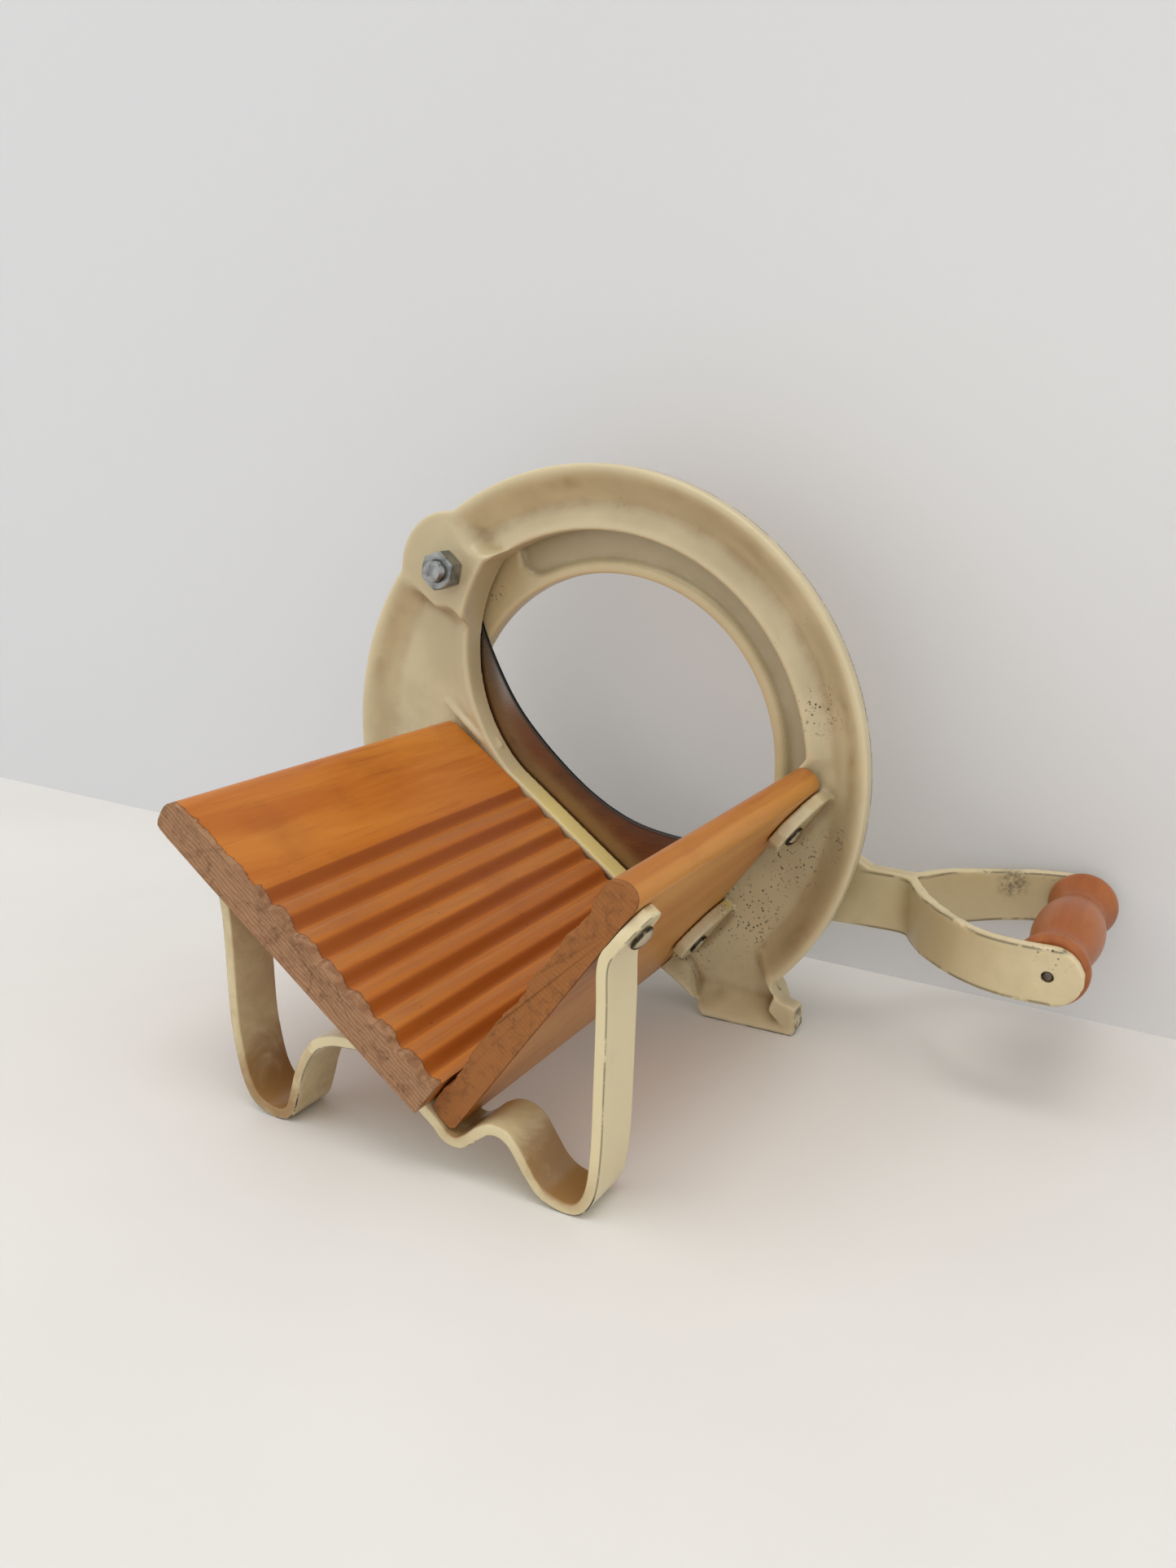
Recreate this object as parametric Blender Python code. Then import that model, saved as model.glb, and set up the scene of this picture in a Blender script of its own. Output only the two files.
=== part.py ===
"""Hand-operated bread slicer: cast ring frame, V trough of boards, bent leg strap and swinging knife arm.

Front faces -Y, the handle points to +X, the floor is z = 0.
Lengths below are millimetres, with x = 0 on the ring's centre line and y = 0 at the front of its outer lip.
The finished objects are metres, with the world origin at DATUM, under the middle of the whole part.
"""

import math

import bmesh
import bpy
from mathutils import Matrix, Vector

MM = 0.001
DATUM = (37.0, -36.85, 0.0)

# ---- driving dimensions, millimetres and degrees ----
RING_Z = 91.3               # height of the ring's centre
RING_R = 105.0              # outer radius of the frame
OPENING_R = 82.0            # radius of the bread opening
FRAME_BACK = 15.6           # rear plane of the frame
RIM_DEPTH = 6.4             # depth of the ring's outer side
COLLAR_FRONT = 5.5          # front plane of the collar round the opening
FLOOR_DEPTH = 8.8           # depth of the channel floor
LEFT_RISE = 1.8             # the channel is this much shallower left of the opening
BOSS_FROM = 125.0           # the flat boss spans these directions from the ring's centre, degrees
BOSS_TO = 143.5
ARC_FROM = 112.0            # the opening's left side spans these directions, degrees
ARC_TO = 217.0
LEFT_ARC = (4.6, 124.4)     # centre of the opening's left side
LEFT_ARC_R = 60.5
ARCH_TOP = 24.0             # height of the arch between the feet
ARCH_FALL = 0.0089          # how fast the arch drops to each side
FOOT = (                    # outline of a foot from the ring round the toe to the arch
    (75.4, 19.1), (74.3, 16.4), (76.2, 13.2), (83.6, 5.4), (84.2, 3.0), (82.6, 0.0), (48.3, 0.0), (43.9, 8.2),
)

TOE = (                     # flat-topped end of the toe, (x, z)
    (75.2, 13.0), (79.0, 11.8), (83.2, 10.8), (84.2, 9.4), (84.2, 2.6), (80.0, 2.0), (73.5, 8.0),
)
TOE_DEPTH = 7.6

SLOPE = 37.0                # the left board falls this steeply, the right board stands square to it
TROUGH_LIFT = 2.55          # lift of the trough's datum above the floor
LEDGE_M = 40.0              # opening ledge, measured square to the left board
LEFT_TOP_M = 39.0           # upper face of the left board
LEFT_BOTTOM_M = 27.0
LEFT_TIP_E = -111.0
BOARD_JOINT_E = 6.7         # where the left board butts against the right one
RIGHT_IN_E = 7.0
RIGHT_OUT_E = 17.0
RIGHT_BOTTOM_M = 27.0
RIGHT_TOP_M = 125.0
LEFT_FRONT_Y = -136.0
RIGHT_FRONT_Y = -129.6
BOARD_BACK_Y = 5.2
FLUTE_PITCH = 11.4
FLUTE_DEPTH = 1.8
FLUTE_FIRST_E = -66.0
FLUTE_COUNT = 6

LUG_T = 4.9                 # a lug's outer face stands this far off the board
LUGS = (                    # name, board, extent along the board, highest point, front tip
    ("r1", "right", 99.5, 121.5, 108.5, -15.2),
    ("r2", "right", 43.0, 65.0, 51.5, -15.6),
    ("l1", "left", -96.0, -74.0, -85.0, -15.2),
    ("l2", "left", -36.0, -14.0, -25.0, -15.2),
)
RIB = ((-116.0, 42.4, 0.6), (-110.0, 42.2, 1.5), (-98.0, 41.9, 2.4), (-87.0, 40.9, 1.0))
GAP = 0.3                   # clearance between neighbouring pieces

STRAP_T = 3.4
STRAP_W = 17.0
STRAP_FRONT_Y = -130.4
TAB_ROUND = 9.0             # length over which the strap's ends are rounded

SCREWS = (                  # name, place on the board's outer face (e, m), y
    ("lug_screw_upper_right", RIGHT_OUT_E, 109.5, -9.0),
    ("lug_screw_lower_right", RIGHT_OUT_E, 54.0, -9.2),
    ("lug_screw_upper_left", -85.0, LEFT_BOTTOM_M, -9.0),
    ("lug_screw_lower_left", -25.0, LEFT_BOTTOM_M, -9.0),
)
LEG_SCREWS = (
    ("leg_screw_right", RIGHT_OUT_E, 113.0, -121.9),
    ("leg_screw_left", -97.0, LEFT_BOTTOM_M, -121.9),
    ("leg_screw_centre", -6.0, LEFT_BOTTOM_M, -121.9),
)

PIVOT = (-60.0, 157.6)
BOSS_R = 21.7
ARM_FRONT = 18.0
ARM_BACK = 25.0
ARM_IN_R = 65.9
ARM_OUT_R = 93.0
ARM_RIM = 4.4
ARM_WEB_FRONT = 20.6
ARM_START = -58.0           # lower end of the C, degrees round the ring's centre
ARM_END = 152.0
ARM_BOSS_R = 22.0
ROOT_Z = 49.2               # middle of the handle's root
ROOT_H = 21.0
FORK_HALF = 37.1            # half distance between the middles of the two fork straps
FORK_T = 3.8
FORK_H = 18.6
FORK_END = 10.2             # the straps reach this far past the pin
HANDLE_X = 167.6
HANDLE_Z = 47.1
PIN_R = 1.6

BLADE_FRONT = 16.1
BLADE_BACK = 17.7
RIVET_R = 2.1
RIVETS = ((-66.5, 141.5), (-61.5, 127.0), (55.0, 44.0), (44.5, 32.5))
SPINE = (                   # the blade's back and its cutting edge, (x, z)
    (-58.0, 144.6), (-53.4, 129.4), (-39.2, 103.8), (-17.2, 81.6), (4.3, 67.6), (26.0, 61.8), (60.0, 60.4),
)
EDGE = (
    (-72.5, 144.6), (-68.5, 116.0), (-57.0, 88.0), (-36.0, 61.5), (-9.0, 41.0), (18.0, 28.0), (44.0, 23.5),
)

BOLT_R = 4.0
NUT_FLATS = 13.0
NUT_H = 6.4
NUT_TURN = 18.0             # how far the nut stopped past level, degrees

CREAM = (0.50, 0.43, 0.27, 1.0)
STRAP_CREAM = (0.56, 0.50, 0.31, 1.0)
AMBER = (0.46, 0.17, 0.035, 1.0)
TAN = (0.50, 0.22, 0.07, 1.0)
STEEL = (0.42, 0.40, 0.38, 1.0)
ZINC = (0.48, 0.49, 0.50, 1.0)
NICKEL = (0.50, 0.46, 0.38, 1.0)
REDWOOD = (0.38, 0.13, 0.05, 1.0)


# ---- helpers ----
def clear_scene():
    for obj in list(bpy.data.objects):
        bpy.data.objects.remove(obj, do_unlink=True)


def material(name, colour, rough, metal):
    mat = bpy.data.materials.new(name)
    mat.use_nodes = True
    shader = mat.node_tree.nodes["Principled BSDF"]
    shader.inputs["Base Color"].default_value = colour
    shader.inputs["Roughness"].default_value = rough
    shader.inputs["Metallic"].default_value = metal
    return mat


def smoothstep(a, b, x):
    t = min(1.0, max(0.0, (x - a) / (b - a)))
    return t * t * (3.0 - 2.0 * t)


def from_slope(e, m):
    """Trough axes to (x, z): e runs down the left board, m stands square to it."""
    c = math.cos(math.radians(SLOPE))
    s = math.sin(math.radians(SLOPE))
    return (c * e + s * m, -s * e + c * m + TROUGH_LIFT)


def finish(bm, name, colour, rough, metal, origin=(0.0, 0.0, 0.0), sharp=35.0):
    """Turn a bmesh in millimetres into a named object whose origin is given in millimetres."""
    bmesh.ops.remove_doubles(bm, verts=bm.verts, dist=0.0005)
    bmesh.ops.recalc_face_normals(bm, faces=bm.faces)
    mesh = bpy.data.meshes.new(name)
    bm.transform(Matrix.Translation(-Vector(origin)))
    bm.transform(Matrix.Scale(MM, 4))
    bm.to_mesh(mesh)
    bm.free()
    obj = bpy.data.objects.new(name, mesh)
    bpy.context.collection.objects.link(obj)
    obj.location = (Vector(origin) - Vector(DATUM)) * MM
    mesh.materials.append(material(name + "_mat", colour, rough, metal))
    mesh.shade_smooth()
    mesh.set_sharp_from_angle(angle=math.radians(sharp))
    return obj


def combine(obj, tool, how):
    """Boolean with a tool object that is kept as a hidden guide."""
    tool.hide_render = True
    tool.display_type = "WIRE"
    mod = obj.modifiers.new(how.lower(), "BOOLEAN")
    mod.operation = how
    mod.solver = "EXACT"
    mod.object = tool


def loft(bm, loops, closed):
    """Bridge successive point loops; a closed run joins the last loop to the first, an open one is capped."""
    rings = [[bm.verts.new(p) for p in loop] for loop in loops]
    count = len(rings[0])
    pairs = list(zip(rings, rings[1:]))
    if closed:
        pairs.append((rings[-1], rings[0]))
    for a, b in pairs:
        for i in range(count):
            j = (i + 1) % count
            bm.faces.new((a[i], a[j], b[j], b[i]))
    if not closed:
        bm.faces.new(list(reversed(rings[0])))
        bm.faces.new(rings[-1])


def prism_xz(bm, outline, y0, y1):
    """Extrude an (x, z) outline along Y."""
    base = bm.faces.new([bm.verts.new((x, y0, z)) for x, z in outline])
    moved = bmesh.ops.extrude_face_region(bm, geom=[base])
    verts = [v for v in moved["geom"] if isinstance(v, bmesh.types.BMVert)]
    bmesh.ops.translate(bm, verts=verts, vec=(0.0, y1 - y0, 0.0))


def turned(bm, profile, centre, axis, steps=24):
    """Turn an open (radius, height) profile that starts and ends on the axis."""
    ax = Vector(axis).normalized()
    side = ax.orthogonal().normalized()
    base = Vector(centre)
    verts = [bm.verts.new(base + side * r + ax * h) for r, h in profile]
    edges = [bm.edges.new(pair) for pair in zip(verts, verts[1:])]
    bmesh.ops.spin(
        bm,
        geom=verts + edges,
        cent=base,
        axis=ax,
        angle=2.0 * math.pi,
        steps=steps,
        use_merge=True,
    )
    bmesh.ops.remove_doubles(bm, verts=bm.verts, dist=0.0005)


def tube_profile(r0, r1, h0, h1, edge=0.3):
    """Closed profile of a sleeve, edges broken."""
    return [
        (r0, h0 + edge), (r0 + edge, h0), (r1 - edge, h0), (r1, h0 + edge),
        (r1, h1 - edge), (r1 - edge, h1), (r0 + edge, h1), (r0, h1 - edge),
    ]


def sleeve(bm, profile, centre, axis, steps=24):
    """Turn a closed profile that stays off the axis."""
    ax = Vector(axis).normalized()
    side = ax.orthogonal().normalized()
    base = Vector(centre)
    loops = []
    for i in range(steps):
        turn = Matrix.Rotation(2.0 * math.pi * i / steps, 3, ax)
        loops.append([base + turn @ side * r + ax * h for r, h in profile])
    loft(bm, loops, True)


def spline(points, per_span):
    """Catmull-Rom curve through the points."""
    out = []
    last = len(points) - 1
    for i in range(last):
        p0 = Vector(points[max(i - 1, 0)])
        p1 = Vector(points[i])
        p2 = Vector(points[i + 1])
        p3 = Vector(points[min(i + 2, last)])
        for k in range(per_span):
            t = k / per_span
            a = 2.0 * p1
            b = (p2 - p0) * t
            c = (2.0 * p0 - 5.0 * p1 + 4.0 * p2 - p3) * t * t
            d = (3.0 * p1 - p0 - 3.0 * p2 + p3) * t * t * t
            out.append(0.5 * (a + b + c + d))
    out.append(Vector(points[last]))
    return out


def offset_path(path, half):
    """Left and right offsets of a 2-D path."""
    left = []
    right = []
    last = len(path) - 1
    for i, p in enumerate(path):
        tangent = (path[min(i + 1, last)] - path[max(i - 1, 0)]).normalized()
        normal = Vector((-tangent.y, tangent.x))
        left.append(p + normal * half)
        right.append(p - normal * half)
    return left, right


# ---- frame ----
def opening_radius(angle):
    """Distance from the ring's centre to the edge of the bread opening."""
    c = math.cos(angle)
    s = math.sin(angle)
    cs = math.cos(math.radians(SLOPE))
    sn = math.sin(math.radians(SLOPE))
    height = RING_Z - TROUGH_LIFT
    reach = OPENING_R
    toward_ledge = sn * c + cs * s
    if toward_ledge < -0.001:
        reach = min(reach, (LEDGE_M - cs * height) / toward_ledge)
    toward_right = cs * c - sn * s
    if toward_right > 0.001:
        reach = min(reach, (RIGHT_IN_E + sn * height) / toward_right)
    degrees = math.degrees(angle) % 360.0
    if ARC_FROM < degrees < ARC_TO:
        ox = LEFT_ARC[0]
        oz = LEFT_ARC[1] - RING_Z
        along = c * ox + s * oz
        across = ox * ox + oz * oz - LEFT_ARC_R * LEFT_ARC_R
        reach = min(reach, along + math.sqrt(along * along - across))
    return reach


def foot_angles():
    """Directions from the ring's centre to the corners of the right foot."""
    return [math.atan2(z - RING_Z, x) for x, z in FOOT]


def outer_radius(angle):
    """Distance from the ring's centre to the outside of the frame: boss, ring, feet and arch."""
    c = math.cos(angle)
    s = math.sin(angle)
    px = PIVOT[0]
    pz = PIVOT[1] - RING_Z
    along = c * px + s * pz
    inside = along * along - (px * px + pz * pz - BOSS_R * BOSS_R)
    if along > 0.0 and inside > 0.0:
        return max(RING_R, along + math.sqrt(inside))
    mirrored = math.atan2(s, abs(c))
    corners = foot_angles()
    if mirrored >= corners[0]:
        return RING_R
    if mirrored <= corners[-1]:
        fall = ARCH_FALL * c * c
        drop = RING_Z - ARCH_TOP
        if fall < 1e-6:
            return drop / -s
        return (-s - math.sqrt(s * s - 4.0 * fall * drop)) / (2.0 * fall)
    for i in range(len(FOOT) - 1):
        if corners[i] >= mirrored >= corners[i + 1]:
            x0, z0 = FOOT[i]
            x1, z1 = FOOT[i + 1]
            ex, ez = x1 - x0, z1 - z0
            dx, dz = abs(c), s
            return (x0 * ez - (z0 - RING_Z) * ex) / (dx * ez - dz * ex)
    return RING_R


def frame_angles(steps):
    """Even directions round the ring, with the corners of the feet and of the opening added."""
    corners = foot_angles()
    keys = corners + [math.pi - a for a in corners]
    x, z = from_slope(RIGHT_IN_E, LEDGE_M)
    keys.append(math.atan2(z - RING_Z, x))
    keys += [math.radians(a) for a in (BOSS_FROM - 6.0, BOSS_FROM - 3.0, BOSS_FROM, BOSS_TO - 3.0, BOSS_TO)]
    keys = [a % (2.0 * math.pi) for a in keys]
    even = [2.0 * math.pi * i / steps for i in range(steps)]
    near = 0.6 * math.pi / steps
    even = [a for a in even if all(abs(a - k) > near for k in keys)]
    return sorted(even + keys)


def front_depth(x, z, d_in, d_out):
    """Depth of the frame's front face: lip outside, hollow channel, collar inside, flat boss at the pivot."""
    degrees = math.degrees(math.atan2(z - RING_Z, x)) % 360.0
    radius = math.hypot(x, z - RING_Z)
    if degrees < BOSS_TO:
        d_in = min(d_in, radius - OPENING_R + 1.0) if degrees > ARC_FROM else d_in
    left = smoothstep(100.0, 130.0, degrees) * (1.0 - smoothstep(205.0, 235.0, degrees))
    floor = FLOOR_DEPTH - LEFT_RISE * left
    lip = 1.0 - smoothstep(1.8, 14.0, d_out)
    collar = 1.0 - smoothstep(0.8, 9.0, d_in)
    depth = (floor + (COLLAR_FRONT - floor) * collar) * (1.0 - lip)
    start = BOSS_FROM - 7.0 * math.exp(-max(0.0, radius - OPENING_R) / 3.0)
    end = BOSS_TO - 3.2 * (1.0 - smoothstep(78.0, 86.0, radius))
    boss = smoothstep(start - 4.5, start + 0.5, degrees) * (1.0 - smoothstep(end - 1.0, end + 2.5, degrees))
    return depth * (1.0 - boss) + 0.2 * boss


def back_depth(d_out):
    rise = 1.0 - smoothstep(0.0, 16.0, d_out)
    return FRAME_BACK + (RIM_DEPTH - FRAME_BACK) * rise


def build_frame():
    angles = frame_angles(104)
    inner = [opening_radius(a) for a in angles]
    outer = [outer_radius(a) for a in angles]
    from_inside = (0.0, 1.0, 3.2, 6.0, 9.0)
    from_outside = (17.0, 12.0, 8.5, 5.5, 3.0, 1.2, 0.0)
    back_outside = (0.0, 4.0, 9.0, 16.5)
    bm = bmesh.new()
    loops = []
    for angle, r_in, r_out in zip(angles, inner, outer):
        c = math.cos(angle)
        s = math.sin(angle)
        span = r_out - r_in
        scale = min(1.0, span / 27.0)
        loop = []
        front = [d * scale for d in from_inside]
        front += [span - d * scale for d in from_outside]
        for d in front:
            r = r_in + d
            x = r * c
            z = RING_Z + r * s
            y = front_depth(x, z, d / scale, (span - d) / scale)
            if d == 0.0:
                y += 0.8
            if d == front[-1]:
                y += 0.7
            loop.append((x, y, z))
        for d in back_outside:
            r = r_out - d * scale
            y = back_depth(d)
            loop.append((r * c, y, RING_Z + r * s))
        loop.append((r_in * c, FRAME_BACK, RING_Z + r_in * s))
        loops.append(loop)
    loft(bm, loops, True)
    frame = finish(bm, "front_frame", CREAM, 0.45, 0.0, sharp=50.0)

    for name, side, low, high, peak, tip in LUGS:
        shape = [
            (low, 12.0), (high, 12.0), (high, 1.0), (high - 2.5, -6.0), (peak + 5.5, tip + 2.0),
            (peak + 1.0, tip), (peak - 3.5, tip + 0.8), (low + 1.5, -9.0), (low, -2.0),
        ]
        bm = bmesh.new()
        levels = (RIGHT_OUT_E + GAP, RIGHT_OUT_E + LUG_T)
        if side == "left":
            levels = (LEFT_BOTTOM_M - GAP, LEFT_BOTTOM_M - LUG_T)
        loops = []
        for level in levels:
            loop = []
            for along, y in shape:
                e, m = (level, along) if side == "right" else (along, level)
                x, z = from_slope(e, m)
                loop.append((x, y, z))
            loops.append(loop)
        loft(bm, loops, False)
        lug = finish(bm, "guide_lug_" + name, CREAM, 0.45, 0.0)
        combine(frame, lug, "UNION")

    for name, side in (("right", 1.0), ("left", -1.0)):
        bm = bmesh.new()
        prism_xz(bm, [(x * side, z) for x, z in TOE], 0.2, TOE_DEPTH)
        combine(frame, finish(bm, "guide_toe_" + name, CREAM, 0.45, 0.0), "UNION")

    bm = bmesh.new()
    loops = []
    seat = FLOOR_DEPTH - LEFT_RISE
    for e, m, height in RIB:
        loop = []
        for dm, y in ((-2.6, 12.0), (-1.1, seat - height), (0.6, seat - height), (2.6, 12.0)):
            x, z = from_slope(e, m + dm)
            loop.append((x, y, z))
        loops.append(loop)
    loft(bm, loops, False)
    combine(frame, finish(bm, "guide_seat_rib", CREAM, 0.45, 0.0), "UNION")

    pocket = [
        (LEFT_TIP_E - GAP, LEFT_TOP_M + GAP), (LEFT_TIP_E - GAP, LEFT_BOTTOM_M - GAP),
        (RIGHT_OUT_E + GAP, RIGHT_BOTTOM_M - GAP), (RIGHT_OUT_E + GAP, RIGHT_TOP_M + GAP),
        (RIGHT_IN_E - GAP, RIGHT_TOP_M + GAP), (RIGHT_IN_E - GAP, LEDGE_M + 0.5),
        (FLUTE_FIRST_E, LEDGE_M + 0.5), (FLUTE_FIRST_E, LEFT_TOP_M + GAP),
    ]
    bm = bmesh.new()
    prism_xz(bm, [from_slope(e, m) for e, m in pocket], -20.0, BOARD_BACK_Y + GAP + 0.05)
    combine(frame, finish(bm, "guide_board_pocket", CREAM, 0.45, 0.0), "DIFFERENCE")

    bm = bmesh.new()
    turned(bm, [(0.0, -5.0), (BOLT_R + GAP, -5.0), (BOLT_R + GAP, 30.0), (0.0, 30.0)],
           (PIVOT[0], 0.0, PIVOT[1]), (0.0, 1.0, 0.0), 24)
    hole = finish(bm, "guide_frame_hole", CREAM, 0.45, 0.0)
    combine(frame, hole, "DIFFERENCE")

    for name, e, m, y in SCREWS:
        drill_for_screw(frame, name, e, m, y)
    return frame


# ---- screws that hold the boards ----
def screw_axis(e, m, y):
    """A point on the board's outer face and the direction out of the board."""
    if e == RIGHT_OUT_E:
        x0, z0 = from_slope(e, m)
        x1, z1 = from_slope(e + 1.0, m)
    else:
        x0, z0 = from_slope(e, m)
        x1, z1 = from_slope(e, m - 1.0)
    return Vector((x0, y, z0)), Vector((x1 - x0, 0.0, z1 - z0))


def cylinder_tool(name, centre, axis, radius, h0, h1, steps=16):
    bm = bmesh.new()
    turned(bm, [(0.0, h0), (radius, h0), (radius, h1), (0.0, h1)], centre, axis, steps)
    return finish(bm, name, CREAM, 0.5, 0.0)


def drill_for_screw(obj, name, e, m, y):
    centre, out = screw_axis(e, m, y)
    tool = cylinder_tool("guide_" + obj.name[:8] + "_" + name, centre, out, 2.1, -9.0, 9.0)
    combine(obj, tool, "DIFFERENCE")


def build_screw(name, e, m, y, seat):
    """Slotted round head standing on a metal piece of thickness 'seat', shank in the board."""
    centre, out = screw_axis(e, m, y)
    profile = [
        (0.0, -7.2), (0.9, -6.6), (1.75, -4.8), (1.75, seat + 0.35), (3.9, seat + 0.35),
        (3.9, seat + 0.75), (3.3, seat + 1.6), (2.1, seat + 2.25), (0.9, seat + 2.5), (0.0, seat + 2.55),
    ]
    bm = bmesh.new()
    turned(bm, profile, centre, out, 16)
    screw = finish(bm, name, NICKEL, 0.35, 1.0, origin=tuple(centre))
    slot_dir = Vector((0.0, 1.0, 0.0)) + out.cross(Vector((0.0, 1.0, 0.0))) * 1.2
    slot_dir.normalize()
    cross = out.cross(slot_dir).normalized()
    bm = bmesh.new()
    loops = []
    for h in (seat + 1.45, seat + 4.0):
        base = centre + out * h
        loops.append([
            base + slot_dir * 5.0 + cross * 0.45, base - slot_dir * 5.0 + cross * 0.45,
            base - slot_dir * 5.0 - cross * 0.45, base + slot_dir * 5.0 - cross * 0.45,
        ])
    loft(bm, loops, False)
    combine(screw, finish(bm, "guide_slot_" + name, NICKEL, 0.35, 1.0), "DIFFERENCE")
    return screw


# ---- trough boards ----
def build_left_board():
    top = LEFT_TOP_M
    outline = [(LEFT_TIP_E, LEFT_BOTTOM_M + 4.2), (LEFT_TIP_E + 0.8, LEFT_BOTTOM_M + 1.6)]
    outline += [(LEFT_TIP_E + 3.0, LEFT_BOTTOM_M), (BOARD_JOINT_E, LEFT_BOTTOM_M)]
    outline += [(BOARD_JOINT_E, top - 1.2)]
    flutes = []
    for i in range(FLUTE_COUNT + 1):
        groove = FLUTE_FIRST_E + FLUTE_PITCH * i
        flutes.append((groove, top - FLUTE_DEPTH))
        if i < FLUTE_COUNT:
            flutes.append((groove + FLUTE_PITCH * 0.42, top - 0.25))
            flutes.append((groove + FLUTE_PITCH * 0.55, top - 0.2))
    flutes = [p for p in flutes if p[0] < BOARD_JOINT_E - 1.0]
    outline += list(reversed(flutes))
    outline += [(FLUTE_FIRST_E - 3.0, top - 0.5), (FLUTE_FIRST_E - 8.0, top)]
    outline += [(LEFT_TIP_E + 4.5, top), (LEFT_TIP_E + 1.6, top - 1.5), (LEFT_TIP_E + 0.3, top - 4.2)]
    bm = bmesh.new()
    prism_xz(bm, [from_slope(e, m) for e, m in outline], LEFT_FRONT_Y, BOARD_BACK_Y)
    board = finish(bm, "left_board", AMBER, 0.4, 0.0, sharp=25.0)
    for name, e, m, y in SCREWS + LEG_SCREWS:
        if m == LEFT_BOTTOM_M:
            drill_for_screw(board, name, e, m, y)
    return board


def build_right_board():
    mid = 0.5 * (RIGHT_IN_E + RIGHT_OUT_E)
    half = 0.5 * (RIGHT_OUT_E - RIGHT_IN_E)
    outline = [(RIGHT_IN_E, RIGHT_BOTTOM_M + 0.6), (RIGHT_IN_E + 0.6, RIGHT_BOTTOM_M)]
    outline += [(RIGHT_OUT_E - 0.8, RIGHT_BOTTOM_M), (RIGHT_OUT_E, RIGHT_BOTTOM_M + 0.8)]
    for i in range(9):
        a = math.pi * i / 8.0
        outline.append((mid + half * math.cos(a), RIGHT_TOP_M - 3.4 + 3.4 * math.sin(a)))
    bm = bmesh.new()
    prism_xz(bm, [from_slope(e, m) for e, m in outline], RIGHT_FRONT_Y, BOARD_BACK_Y)
    board = finish(bm, "right_board", TAN, 0.45, 0.0, sharp=25.0)
    for name, e, m, y in SCREWS + LEG_SCREWS:
        if e == RIGHT_OUT_E:
            drill_for_screw(board, name, e, m, y)
    return board


# ---- leg strap ----
def build_leg_strap():
    """One flat strip: left tab, U on the floor, cradle under the boards, hump, U, leg and right tab."""
    half = STRAP_T / 2.0
    under = LEFT_BOTTOM_M - half - 0.3
    beside = RIGHT_OUT_E + half + 0.3
    floor = half
    path = [from_slope(e, under) for e in (-106.0, -99.0, -94.0, -89.0, -84.5)]
    path += [(-51.9, 69.0), (-51.2, 60.0), (-51.1, 32.0), (-50.0, 20.5), (-47.6, 10.0)]
    path += [(-43.5, 4.0), (-36.0, floor), (-31.0, 3.6), (-28.2, 10.5), (-26.0, 17.2)]
    path += [(-23.0, 23.4), (-18.6, 28.8), (-12.5, 31.5), (-6.5, 32.3)]
    path += [from_slope(-17.5, under - 0.5), from_slope(-13.0, under), from_slope(4.0, under)]
    path += [from_slope(12.0, under - 0.1), from_slope(16.5, under - 0.7), (31.8, 11.2), (35.6, 13.2)]
    path += [(39.4, 16.4), (43.3, 18.3), (47.3, 18.0), (50.6, 15.6), (54.0, 10.6), (57.4, 5.8)]
    path += [(61.6, 2.8), (67.8, floor)]
    path += [(72.0, 3.6), (75.0, 9.6), (76.6, 22.0), (77.4, 40.0), (78.0, 56.0), (78.2, 64.0)]
    path += [from_slope(beside + 1.7, 102.6), from_slope(beside, 106.5), from_slope(beside, 110.5)]
    path += [from_slope(beside, 115.0), from_slope(beside, 120.6)]
    curve = spline(path, 3)
    curve = [p for i, p in enumerate(curve) if i == 0 or (p - curve[i - 1]).length > 0.2]
    curve = [Vector((p.x, max(p.y, floor))) for p in curve]
    left, right = offset_path(curve, half)
    reach = [0.0]
    for a, b in zip(curve, curve[1:]):
        reach.append(reach[-1] + (b - a).length)
    bm = bmesh.new()
    loops = []
    for at, a, b in zip(reach, left, right):
        from_end = min(at, reach[-1] - at) / TAB_ROUND
        trim = STRAP_W / 2.0 * (1.0 - math.sqrt(max(0.1, 1.0 - max(0.0, 1.0 - from_end) ** 2)))
        y0 = STRAP_FRONT_Y + trim
        y1 = STRAP_FRONT_Y + STRAP_W - trim
        za = max(a.y, 0.0)
        zb = max(b.y, 0.0)
        loops.append([(a.x, y0, za), (b.x, y0, zb), (b.x, y1, zb), (a.x, y1, za)])
    loft(bm, loops, False)
    strap = finish(bm, "leg_strap", STRAP_CREAM, 0.42, 0.0, sharp=50.0)
    for name, e, m, y in LEG_SCREWS:
        drill_for_screw(strap, name, e, m, y)
    return strap


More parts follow.
